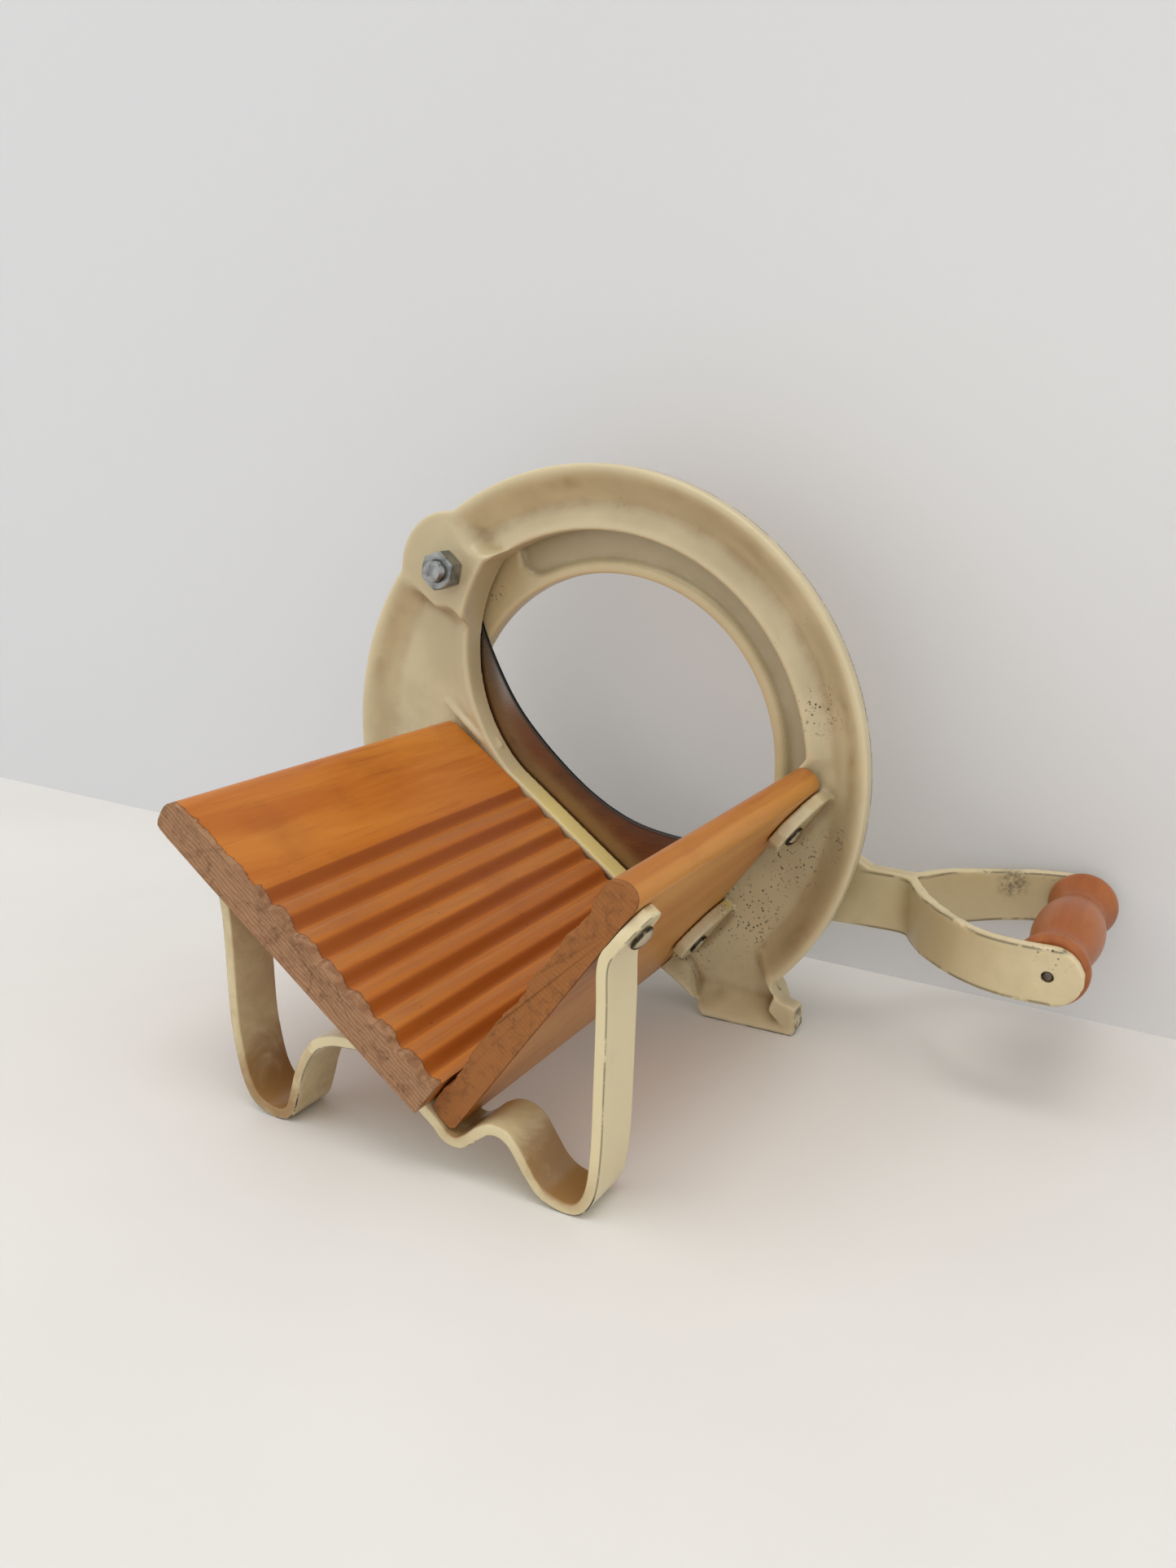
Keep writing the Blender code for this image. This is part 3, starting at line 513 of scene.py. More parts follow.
def enamel(name, base, light, stain, clusters=(), smudges=(), stain_gain=1.0, dash=95.0):
    """Old cream enamel: cloudy, lightened on convex crowns as painted highlight, stained in the hollows,
    pitted, chipped to the iron at its edges, with a greyed coat of painted shade and a warm coat of painted
    light where a piece marks them.
    """
    s = Shader(name)
    streak = s.noise(70.0, 6.0, 0.65, 0.6)
    grime = s.times(s.painted("dirt"), s.ramp(streak, 0.25, 0.7, 0.55, 1.25))
    chance = s.ramp(s.noise(45.0, 3.0, 0.6), 0.64, 0.74, 0.0, PIT_DEPTH)
    pits = s.times(s.ramp(s.cells(520.0), 0.30, 0.10), chance)
    for point, radius in clusters:
        spread = s.times(s.near(point, radius), s.ramp(s.noise(300.0, 3.0, 0.7), 0.44, 0.58))
        pits = s.math("MAXIMUM", pits, s.times(spread, s.ramp(s.cells(760.0), 0.42, 0.16)))
    for point, radius in smudges:
        spread = s.times(s.near(point, radius), s.ramp(s.noise(520.0, 5.0, 0.8), 0.42, 0.62))
        pits = s.math("MAXIMUM", pits, s.times(spread, 0.85))
    worn = s.math("ADD", s.painted("edge"), s.ramp(s.noise(130.0, 6.0, 0.75), 0.3, 0.75, -0.5, 0.5))
    line = s.times(s.painted("line"), s.ramp(s.noise(dash, 4.0, 0.7), 0.38, 0.5, 0.05, 1.0))
    chips = s.math("MAXIMUM", s.ramp(worn, CHIP_FROM, CHIP_FROM + 0.07), line)
    colour = s.layers(
        base,
        (s.ramp(s.noise(16.0, 5.0, 0.6), 0.35, 0.68), light),
        # convex crowns lightened: painted highlight
        (s.ramp(s.painted("convex_highlight"), 0.12, 0.8, 0.0, 0.75), light),
        (s.ramp(grime, 0.06, 0.85, 0.0, stain_gain), stain),
        (s.ramp(s.noise(38.0, 6.0, 0.7), 0.5, 0.75, 0.0, 0.22), stain),
        # greyed coat: painted shade on the arm's web seen through the opening
        (s.painted("web_shade"), rgb(150, 140, 112)),
        # warm coat: painted light on the up-facing ledge of the opening
        (s.painted("lit_ledge"), rgb(222, 204, 134)),
        (pits, rgb(66, 52, 38)),
        (chips, IRON),
    )
    rough = s.ramp(s.math("ADD", chips, s.times(streak, 0.35)), 0.1, 1.0, 0.3, 0.62)
    wave = s.bump(s.noise(85.0, 3.0, 0.5), 0.22, s.bump(s.noise(420.0, 3.0, 0.5), 0.035))
    normal = s.bump(s.math("SUBTRACT", 1.0, s.math("MAXIMUM", chips, pits)), 0.16, wave)
    return s.finish(colour, rough, ("Normal", normal), ("Coat Weight", 0.18), ("Coat Roughness", 0.22))


def wood(name, light, dark, deep, bare, hatch, slope=SLOPE):
    """Varnished wood, grain along Y. Painted 'bare' wears it to dry wood, and 'tone' darkens the varnish, on
    the flutes' falling faces as painted shade; a lit-side mask lightens it as painted highlight.
    """
    s = Shader(name)
    level = s.stretch((1.0, 1.0, 1.0), (0.0, math.radians(slope), 0.0))
    along = s.stretch((1.0, 0.055, 1.0), where=level)
    fibre = s.noise(520.0, 5.0, 0.65, 0.3, where=along)
    board = s.noise(60.0, 5.0, 0.6, 0.8, where=along)
    chance = s.ramp(s.noise(60.0, 2.0), 0.6, 0.68, 0.0, 0.7)
    specks = s.times(s.ramp(s.cells(330.0), 0.16, 0.05), chance)
    feeds = [("Vector", s.stretch((1.0, 1.0, 0.45), (0.0, 0.5, 0.0), where=level)), ("Scale", 260.0)]
    feeds += [("Distortion", 5.0), ("Detail", 3.0), ("Detail Scale", 1.2)]
    ring = s.node("ShaderNodeTexWave", feeds, wave_type="BANDS", bands_direction="X")
    torn = s.noise(240.0, 6.0, 0.75, 0.5)
    dry = s.layers(
        bare,
        (s.ramp(ring.outputs["Fac"], 0.2, 0.9, 0.0, 0.5), hatch),
        (s.ramp(torn, 0.45, 0.75, 0.0, 0.75), rgb(92, 58, 36)),
    )
    # lightened faces: painted highlight on the sides that face the light
    lit_side = s.times(s.painted("lit_side"), s.ramp(fibre, 0.3, 0.6, 0.35, 1.0))
    ragged = s.math("ADD", s.noise(110.0, 5.0, 0.7, 0.4), s.times(s.noise(32.0, 2.0, 0.5), 0.5))
    worn = s.math("ADD", s.painted("bare"), s.ramp(ragged, 0.5, 1.0, -0.3, 0.3))
    mask = s.ramp(worn, 0.48, 0.54)
    rim = s.times(s.ramp(worn, 0.38, 0.5), s.ramp(worn, 0.62, 0.5))
    colour = s.layers(
        light,
        (s.ramp(board, 0.35, 0.66), dark),
        (s.ramp(s.noise(22.0, 4.0, 0.6), 0.5, 0.78, 0.0, 0.45), deep),
        (s.ramp(fibre, 0.52, 0.72, 0.0, 0.38), deep),
        # darker varnish, and painted shade on the flutes' falling faces
        (s.painted("tone"), deep),
        (specks, rgb(60, 30, 12)),
        (lit_side, bare),
        (mask, dry),
        (s.times(rim, 0.6), rgb(82, 38, 14)),
    )
    sunk = s.times(mask, -1.0)
    splinters = s.times(s.times(torn, mask), 1.6)
    normal = s.bump(s.math("ADD", sunk, splinters), 0.28, s.bump(fibre, 0.06))
    return s.finish(
        colour, s.ramp(mask, 0.0, 1.0, 0.34, 0.78), ("Normal", normal),
        ("Coat Weight", 0.06), ("Coat Roughness", 0.25), ("Specular IOR Level", 0.22),
    )


def metal(name, colour, dull, rough, grime=0.5, spot=rgb(70, 60, 48)):
    """Plated or bare metal: cloudy plating, fine scratches and grime in the hollows."""
    s = Shader(name)
    cloud = s.noise(260.0, 5.0, 0.65)
    scratch = s.noise(900.0, 4.0, 0.7, 0.2, where=s.stretch((1.0, 0.12, 1.0), (0.3, 0.9, 0.4)))
    hollow = s.times(s.painted("dirt"), s.ramp(s.noise(500.0, 3.0), 0.2, 0.7, 0.6, 1.3))
    base = s.layers(
        colour,
        (s.ramp(cloud, 0.35, 0.7), dull),
        (s.ramp(scratch, 0.55, 0.72, 0.0, 0.35), dull),
        (s.ramp(hollow, 0.15, 0.75, 0.0, grime), spot),
    )
    wear = s.math("ADD", cloud, s.times(scratch, 0.5))
    tone = s.ramp(wear, 0.3, 1.1, rough * 0.8, rough * 1.7)
    return s.finish(base, tone, ("Normal", s.bump(scratch, 0.02, s.bump(cloud, 0.04))), ("Metallic", 1.0))


def blade_steel(name):
    """Old polished steel: a brown and olive tint, partly the steel's film and partly painted reflection of
    the wooden boards, a bluer band along the back as painted highlight, and long polishing lines.
    """
    s = Shader(name)
    lines = s.noise(1500.0, 3.0, 0.6, 0.0, where=s.stretch((0.05, 1.0, 1.0), (0.0, -0.62, 0.0)))
    # brown tint: partly the steel's film, partly painted reflection of the boards; the bluer band along the
    # back is a painted highlight
    colour = s.layers(
        rgb(154, 124, 98),
        (s.ramp(s.noise(14.0, 3.0, 0.5, 0.4), 0.35, 0.65), rgb(146, 120, 94)),
        (s.painted("back"), rgb(122, 126, 128)),
        (s.painted("spine"), rgb(28, 26, 24)),
        (s.ramp(s.noise(50.0, 4.0, 0.6), 0.6, 0.85, 0.0, 0.18), rgb(112, 80, 60)),
    )
    rough = s.ramp(lines, 0.3, 0.75, 0.27, 0.32)
    return s.finish(colour, rough, ("Normal", s.bump(lines, 0.0012)), ("Metallic", 1.0))


# ---- front frame ----
def foot_angles():
    return [math.atan2(z - RING_Z, x) for x, z in FOOT]


def outer_radius(angle):
    """Distance from the ring's centre to the outside of the frame: boss, ring, feet and arch."""
    c = math.cos(angle)
    s = math.sin(angle)
    px = PIVOT[0]
    pz = PIVOT[1] - RING_Z
    along = c * px + s * pz
    inside = along * along - (px * px + pz * pz - BOSS_R * BOSS_R)
    if along > 0.0 and inside > 0.0:
        return max(RING_R, along + math.sqrt(inside))
    mirrored = math.atan2(s, abs(c))
    corners = foot_angles()
    if mirrored >= corners[0]:
        return RING_R
    if mirrored <= corners[-1]:
        fall = ARCH_FALL * c * c
        drop = RING_Z - ARCH_TOP
        if fall < 1e-6:
            return drop / -s
        return (-s - math.sqrt(s * s - 4.0 * fall * drop)) / (2.0 * fall)
    for i in range(len(FOOT) - 1):
        if corners[i] >= mirrored >= corners[i + 1]:
            x0, z0 = FOOT[i]
            x1, z1 = FOOT[i + 1]
            ex, ez = x1 - x0, z1 - z0
            dx, dz = abs(c), s
            return (x0 * ez - (z0 - RING_Z) * ex) / (dx * ez - dz * ex)
    return RING_R


def opening_radius(angle):
    """Distance from the ring's centre to the edge of the bread opening."""
    c = math.cos(angle)
    s = math.sin(angle)
    height = RING_Z - TROUGH_LIFT
    reach = OPENING_R
    toward_ledge = SLOPE_SIN * c + SLOPE_COS * s
    if toward_ledge < -0.001:
        reach = min(reach, (LEDGE_M - SLOPE_COS * height) / toward_ledge)
    toward_right = SLOPE_COS * c - SLOPE_SIN * s
    if toward_right > 0.001:
        reach = min(reach, (RIGHT_IN_E + SLOPE_SIN * height) / toward_right)
    degrees = math.degrees(angle) % 360.0
    if 112.0 < degrees < 217.0:
        ox = LEFT_ARC[0]
        oz = LEFT_ARC[1] - RING_Z
        along = c * ox + s * oz
        across = ox * ox + oz * oz - LEFT_ARC_R * LEFT_ARC_R
        reach = min(reach, along + math.sqrt(along * along - across))
    return reach


def front_depth(x, z, d_in, d_out):
    """Depth of the frame's front: rolled lip, channel rising to the opening, flat boss at the pivot."""
    degrees = math.degrees(math.atan2(z - RING_Z, x)) % 360.0
    radius = math.hypot(x, z - RING_Z)
    if 112.0 < degrees < BOSS_TO:
        d_in = min(d_in, radius - OPENING_R + 1.0)
    left = smoothstep(100.0, 130.0, degrees) * (1.0 - smoothstep(205.0, 235.0, degrees))
    floor = FLOOR_DEPTH - LEFT_RISE * left
    lip = 1.0 - smoothstep(1.4, 14.0, d_out)
    collar = 1.0 - smoothstep(0.8, 9.0, d_in)
    depth = (floor + (COLLAR_FRONT - floor) * collar) * (1.0 - lip)
    start = BOSS_FROM - 7.0 * math.exp(-max(0.0, radius - OPENING_R) / 3.0)
    end = BOSS_TO - 3.2 * (1.0 - smoothstep(78.0, 86.0, radius))
    boss = smoothstep(start - 4.5, start + 0.5, degrees)
    boss *= 1.0 - smoothstep(end - 0.6, end + 2.2, degrees)
    return depth * (1.0 - boss) + 0.2 * boss


def back_depth(d_out):
    rise = 1.0 - smoothstep(0.0, 16.0, d_out)
    return FRAME_BACK + (RIM_DEPTH - FRAME_BACK) * rise


def frame_loops(steps=460):
    keys = foot_angles() + [math.pi - a for a in foot_angles()]
    x, z = from_slope(RIGHT_IN_E, LEDGE_M)
    keys.append(math.atan2(z - RING_Z, x))
    keys = [a % (2.0 * math.pi) for a in keys]
    even = [2.0 * math.pi * i / steps for i in range(steps)]
    angles = sorted([a for a in even if all(abs(a - k) > 0.004 for k in keys)] + keys)
    loops = []
    for angle in angles:
        c = math.cos(angle)
        s = math.sin(angle)
        r_in = opening_radius(angle)
        r_out = outer_radius(angle)
        span = r_out - r_in
        loop = []
        front = [0.0, 0.5] + [span * i / 34.0 for i in range(1, 34)] + [span - 0.5, span]
        for d in front:
            r = r_in + d
            x = r * c
            z = RING_Z + r * s
            y = front_depth(x, z, d, span - d)
            if d == 0.0:
                y += 0.7
            if d == span:
                y += 0.6
            loop.append((x, y, z))
        for i in range(11):
            d = min(span, 18.0) * i / 10.0
            r = r_out - d
            loop.append((r * c, back_depth(d), RING_Z + r * s))
        loop.append((r_in * c, FRAME_BACK, RING_Z + r_in * s))
        loops.append(loop)
    return loops


LUGS = (
    ("right", 99.5, 121.5, 108.5, -15.2),
    ("right", 43.0, 65.0, 51.5, -15.6),
    ("left", -96.0, -74.0, -85.0, -15.2),
    ("left", -36.0, -14.0, -25.0, -15.2),
)


def prism_slope(bm, loops):
    """Solid through loops of (e, m, y) points."""
    placed = []
    for loop in loops:
        ring = []
        for e, m, y in loop:
            x, z = from_slope(e, m)
            ring.append((x, y, z))
        placed.append(ring)
    loft(bm, placed, False)


def lug_solids(bm):
    for side, low, high, peak, tip in LUGS:
        shape = [
            (low, 12.0), (high, 12.0), (high, 1.0), (high - 2.5, -6.0), (peak + 5.5, tip + 2.0),
            (peak + 1.0, tip), (peak - 3.5, tip + 0.8), (low + 1.5, -9.0), (low, -2.0),
        ]
        if side == "right":
            levels = (RIGHT_OUT_E + 0.35, RIGHT_OUT_E + 4.9)
            prism_slope(bm, [[(level, m, y) for m, y in shape] for level in levels])
        else:
            levels = (LEFT_BOTTOM_M - 0.35, LEFT_BOTTOM_M - 4.9)
            prism_slope(bm, [[(e, level, y) for e, y in shape] for level in levels])


RIB = ((-116.0, 42.4, 0.6), (-110.0, 42.2, 1.5), (-98.0, 41.9, 2.4), (-87.0, 40.9, 1.0))


def seat_rib(bm):
    loops = []
    seat = FLOOR_DEPTH - LEFT_RISE
    for e, m, height in RIB:
        loop = []
        for dm, y in ((-2.6, 12.0), (-1.1, seat - height), (0.6, seat - height), (2.6, 12.0)):
            loop.append((e, m + dm, y))
        loops.append(loop)
    prism_slope(bm, loops)


def board_pocket():
    outline = [
        (LEFT_TIP_E - GAP, LEFT_TOP_M + GAP), (LEFT_TIP_E - GAP, LEFT_BOTTOM_M - GAP),
        (RIGHT_OUT_E + GAP, RIGHT_BOTTOM_M - GAP), (RIGHT_OUT_E + GAP, RIGHT_TOP_M + GAP),
        (RIGHT_IN_E - GAP, RIGHT_TOP_M + GAP), (RIGHT_IN_E - GAP, LEDGE_M + 0.5),
        (FLUTE_FIRST_E - 2.0, LEDGE_M + 0.5), (FLUTE_FIRST_E - 10.0, LEFT_TOP_M + GAP),
    ]
    bm = bmesh.new()
    prism_slope(bm, [[(e, m, y) for e, m in outline] for y in (-20.0, BOARD_BACK_Y + GAP)])
    return new_object("cut_pocket", bm)


def make_front_frame(mat):
    bm = bmesh.new()
    loft(bm, frame_loops(), True)
    lug_solids(bm)
    seat_rib(bm)
    for side in (1.0, -1.0):
        loft(bm, [[(px * side, py, pz) for px, pz in TOE] for py in (0.2, TOE_DEPTH)], False)
    obj = new_object("frame_casting", bm)
    hole = rod("cut_bolt", *PIVOT, BOLT_R + GAP, -6.0, 30.0)
    cast(obj, 0.7, 3, [board_pocket(), hole])
    paint_curvature(obj)
    co = design_points(obj)
    x, y, z = co.T
    side = vertex_vectors(obj, "normal")
    radius = np.hypot(x, z - RING_Z)
    degrees = np.degrees(np.arctan2(z - RING_Z, x)) % 360.0
    facing = np.clip(-side[:, 1] * 1.5, 0.0, 1.0)
    rear = fade(y, 4.4, 5.4) * fade(y, 7.2, 6.2) * fade(radius, 103.9, 104.4)
    rear = rear * (facing < 0.5) * (z > 26.0)
    low = bell(z, 0.0, 0.5)
    toe = bell(np.abs(x), 84.4, 0.8) * (z < 10.0)
    store(obj, "line", np.maximum(np.maximum(rear * 0.8, low * 0.9), toe * 0.9))
    boss = fade(degrees, 116.0, 120.0) * fade(degrees, 149.0, 145.0)
    # the channel's outer flank, and faintly its right half, are darkened: grime and painted shade
    broken = np.array([0.5 + 0.9 * noise.noise(Vector(p) * 0.045) for p in co.tolist()])
    flank_grime_and_shade = bell(radius, 99.0, 3.8) * facing * (1.0 - boss) * np.clip(broken, 0.0, 1.0)
    wide = bell(radius, 92.0, 7.0) * facing * (x > 0.0)
    old = np.zeros(len(co), np.float32)
    obj.data.attributes["dirt"].data.foreach_get("value", old)
    store(obj, "dirt", np.maximum(old, np.maximum(flank_grime_and_shade * 0.46, wide * 0.12)))
    # up-facing surfaces low in the opening get a warm, lighter coat: painted light
    ledge = fade(side[:, 2], 0.55, 0.75) * fade(z, 84.0, 68.0)
    store(obj, "lit_ledge", ledge * (radius < 80.0) * (y > 3.5))
    dress(obj, mat, "base", "front_frame")


# ---- boards ----
def flute_height(e):
    """Upper surface of the left board, measured square to it: saw-shaped flutes with rounded crests."""
    top = LEFT_TOP_M
    if e < FLUTE_FIRST_E:
        return top - FLUTE_DEPTH * smoothstep(FLUTE_FIRST_E - 4.5, FLUTE_FIRST_E + 0.4, e)
    t = ((e - FLUTE_FIRST_E) / FLUTE_PITCH) % 1.0
    rise = smoothstep(0.0, 0.30, t) if t < 0.5 else 1.0 - smoothstep(0.60, 1.0, t)
    return top - FLUTE_DEPTH + (FLUTE_DEPTH - 0.2) * rise


def around(e, m, offsets):
    """Points of an outline beside one of its corners."""
    return [(e + de, m + dm) for de, dm in offsets]


def board_mesh(name, outline, y_front, y_back, wear):
    """Extrude an (e, m) outline along Y with closely spaced stations; wear(e, m, y) pulls worn edges in."""
    stations = [y_front + d for d in (0.0, 0.5, 1.2, 2.2, 3.4, 5.0, 7.0, 10.0)]
    y = y_front + 14.0
    while y < y_back - 4.0:
        stations.append(y)
        y += 3.5
    stations += [y_back - 0.5, y_back]
    loops = []
    for y in stations:
        loop = []
        for e, m in outline:
            dy, de, dm = wear(e, m, y)
            x, z = from_slope(e + de, m + dm)
            loop.append((x, y + dy, z))
        loops.append(loop)
    obj = lofted(name, loops)
    sharpen(obj, 38.0)
    return obj


def make_left_board(mat):
    outline = around(LEFT_TIP_E, LEFT_BOTTOM_M, ((0.1, 5.0), (0.3, 2.2), (1.1, 0.7), (2.6, 0.0)))
    outline += [(LEFT_TIP_E + 6.0 + i * 10.0, LEFT_BOTTOM_M) for i in range(11)]
    outline.append((BOARD_JOINT_E, LEFT_BOTTOM_M))
    e = BOARD_JOINT_E
    while e > LEFT_TIP_E + 5.0:
        outline.append((e, flute_height(e)))
        e -= 0.57 if e > FLUTE_FIRST_E - 8.0 else 3.0
    outline += around(LEFT_TIP_E, LEFT_TOP_M, ((3.4, -0.35), (1.7, -1.3), (0.6, -2.8), (0.1, -4.6)))

    def wear(e, m, y):
        front = math.exp(-(y - LEFT_FRONT_Y) / 1.8)
        rough = noise.fractal(Vector((e * 0.16, m * 0.16, 3.1)), 1.0, 2.0, 4)
        top = smoothstep(LEFT_TOP_M - 4.0, LEFT_TOP_M - 0.5, m)
        drop = -front * top * (0.25 + 0.9 * max(0.0, rough))
        wave = 0.12 * noise.noise(Vector((e * 0.05, y * 0.03, 7.0)))
        shift = max(0.0, 0.35 + 0.7 * rough) * front if y < LEFT_FRONT_Y + 2.0 else 0.0
        return shift, 0.0, drop + wave * top

    obj = board_mesh("left_board_wood", outline, LEFT_FRONT_Y, BOARD_BACK_Y, wear)
    co = design_points(obj)
    e, m = slope_of(co)
    t = ((e - FLUTE_FIRST_E) / FLUTE_PITCH) % 1.0
    # flutes: falling faces darkened as painted shade, rising faces lightened as painted highlight, grooves
    # holding darker varnish
    falling = fade(t, 0.56, 0.66) * fade(t, 1.0, 0.95)
    groove = bell(np.minimum(t, 1.0 - t), 0.0, 0.045)
    fluted = (e > FLUTE_FIRST_E - 4.0) & (m > LEFT_TOP_M - 3.0)
    store(obj, "tone", np.where(fluted, np.maximum(0.05 + 0.72 * falling, 0.9 * groove), 0.0))
    rising = fade(t, 0.08, 0.16) * fade(t, 0.56, 0.46)
    store(obj, "lit_side", np.where(fluted, 0.34 * rising, 0.0))
    front = co[:, 1] - LEFT_FRONT_Y
    flute_wear = 1.6 * (e > FLUTE_FIRST_E - 6.0)
    store(obj, "bare", 1.0 - (front - 0.6 - flute_wear) / 3.4)
    dress(obj, mat, "base", "left_board")


def make_right_board(mat):
    mid = 0.5 * (RIGHT_IN_E + RIGHT_OUT_E)
    half = 0.5 * (RIGHT_OUT_E - RIGHT_IN_E)
    outline = around(RIGHT_IN_E, RIGHT_BOTTOM_M, ((0.0, 0.7), (0.7, 0.0)))
    outline.append((mid, RIGHT_BOTTOM_M))
    outline += around(RIGHT_OUT_E, RIGHT_BOTTOM_M, ((-0.9, 0.0), (0.0, 0.9)))
    outline += [(RIGHT_OUT_E, RIGHT_BOTTOM_M + 5.0 + 6.0 * i) for i in range(15)]
    for i in range(15):
        a = math.pi * i / 14.0
        outline.append((mid + half * math.cos(a), RIGHT_TOP_M - 3.6 + 3.6 * math.sin(a)))
    outline += [(RIGHT_IN_E, RIGHT_BOTTOM_M + 5.0 + 1.5 * i) for i in reversed(range(58))]

    def wear(e, m, y):
        front = math.exp(-(y - RIGHT_FRONT_Y) / 2.2)
        rough = noise.fractal(Vector((e * 0.22, m * 0.14, 11.7)), 1.0, 2.0, 4)
        torn = noise.fractal(Vector((2.0, m * 0.21, 4.4)), 0.8, 2.1, 4)
        below = smoothstep(RIGHT_TOP_M - 2.0, RIGHT_TOP_M - 14.0, m)
        inner = smoothstep(RIGHT_IN_E + 3.0, RIGHT_IN_E, e) * below
        shift = max(0.0, 0.4 + 0.9 * rough) * front if y < RIGHT_FRONT_Y + 2.0 else 0.0
        deep = math.exp(-(y - RIGHT_FRONT_Y) / 6.5)
        return shift, inner * deep * (0.5 + 2.6 * max(0.0, 0.25 + torn)), 0.0

    obj = board_mesh("right_board_wood", outline, RIGHT_FRONT_Y, BOARD_BACK_Y, wear)
    co = design_points(obj)
    e, m = slope_of(co)
    front = co[:, 1] - RIGHT_FRONT_Y
    reach = 2.6 + 11.0 * fade(m, 120.0, 75.0) * (e < mid)
    store(obj, "bare", 1.0 - (front - 1.0) / reach)
    joint = bell(m, LEFT_TOP_M, 1.2) * (e < mid)
    store(obj, "tone", np.maximum(0.35 * (e < mid + 1.0), joint))
    dress(obj, mat, "base", "right_board")


# ---- leg strap ----
def strap_path():
    half = STRAP_T / 2.0
    under = LEFT_BOTTOM_M - half - GAP
    beside = RIGHT_OUT_E + half + GAP
    floor = half
    path = [from_slope(e, under) for e in (-106.0, -99.0, -94.0, -89.0, -84.5)]
    path += [(-51.9, 69.0), (-51.2, 60.0), (-51.1, 32.0), (-50.0, 20.5), (-47.6, 10.0)]
    path += [(-43.5, 4.0), (-36.0, floor), (-31.0, 3.6), (-28.2, 10.5), (-26.0, 17.2)]
    path += [(-23.0, 23.4), (-18.6, 28.8), (-12.5, 31.5), (-6.5, 32.3)]
    path += [from_slope(-17.5, under - 0.5), from_slope(-13.0, under), from_slope(4.0, under)]
    path += [from_slope(12.0, under - 0.1), from_slope(16.5, under - 0.7), (31.8, 11.2), (35.6, 13.2)]
    path += [(39.4, 16.4), (43.3, 18.3), (47.3, 18.0), (50.6, 15.6), (54.0, 10.6), (57.4, 5.8)]
    path += [(61.6, 2.8), (67.8, floor)]
    path += [(72.0, 3.6), (75.0, 9.6), (76.6, 22.0), (77.4, 40.0), (78.0, 56.0), (78.2, 64.0)]
    path += [from_slope(beside + 1.7, 102.6), from_slope(beside, 106.5), from_slope(beside, 110.5)]
    path += [from_slope(beside, 115.0), from_slope(beside, 120.6)]
    return path


STRAP_CORNER = 11


def strap_section(width, half):
    """Flat strip with small round corners, as (across, out) points that start at its back, inner side."""
    r = 0.5
    points = []
    for turn, (cu, cv) in enumerate(((1.0, 1.0), (-1.0, 1.0), (-1.0, -1.0), (1.0, -1.0))):
        beside = (cu * (width - r - 0.5), cv * half)
        if turn in (1, 3):
            points.append(beside)
        for k in range(4):
            a = math.radians(90.0 * turn + 30.0 * k)
            points.append((cu * (width - r) + r * math.cos(a), cv * (half - r) + r * math.sin(a)))
        if turn in (0, 2):
            points.append(beside)
    return points


def make_leg_strap(mat):
    half = STRAP_T / 2.0
    curve = spline(strap_path(), 10)
    curve = [p for i, p in enumerate(curve) if i == 0 or (p - curve[i - 1]).length > 0.25]
    length = [0.0]
    for a, b in zip(curve, curve[1:]):
        length.append(length[-1] + (b - a).length)
    total = length[-1]
    middle = STRAP_FRONT_Y + STRAP_W / 2.0
    loops = []
    for i, (p, normal) in enumerate(with_normals(curve)):
        from_end = min(length[i], total - length[i])
        round_end = 9.0
        width = STRAP_W / 2.0
        if from_end < round_end:
            t = 1.0 - from_end / round_end
            width *= math.sqrt(max(0.0, 1.0 - 0.93 * t * t))
        width += 0.12 * noise.noise(Vector((length[i] * 0.06, 0.0, 2.0)))
        loop = []
        for u, v in strap_section(width, half):
            q = p + normal * v
            loop.append((q.x, middle + u, max(q.y, 0.02)))
        loops.append(loop)
    obj = lofted("leg_strap_strip", loops)
    co = design_points(obj)
    paint_curvature(obj, 2, 0.8)
    place = np.arange(len(co)) % len(strap_section(STRAP_W, STRAP_T))
    corner = np.isin(place, (1, 2, 7, 8, 11, 12, 17, 18))
    store(obj, "edge", corner * 0.6)
    line = np.isin(place, (STRAP_CORNER, STRAP_CORNER + 1)) * 1.0
    store(obj, "line", line * (0.62 + 0.6 * (co[:, 2] < 9.0)))
    up = vertex_vectors(obj, "normal")[:, 2]
    # the low, up-facing bends are darkened, and the whole left leg is darkened as painted shade
    bend = fade(co[:, 2], 24.0, 10.0) * np.clip(up + 0.35, 0.0, 1.0)
    left = 0.35 * (co[:, 0] < -20.0)
    store(obj, "dirt", np.minimum(bend + left, 0.9))
    dress(obj, mat, "base", "leg_strap")


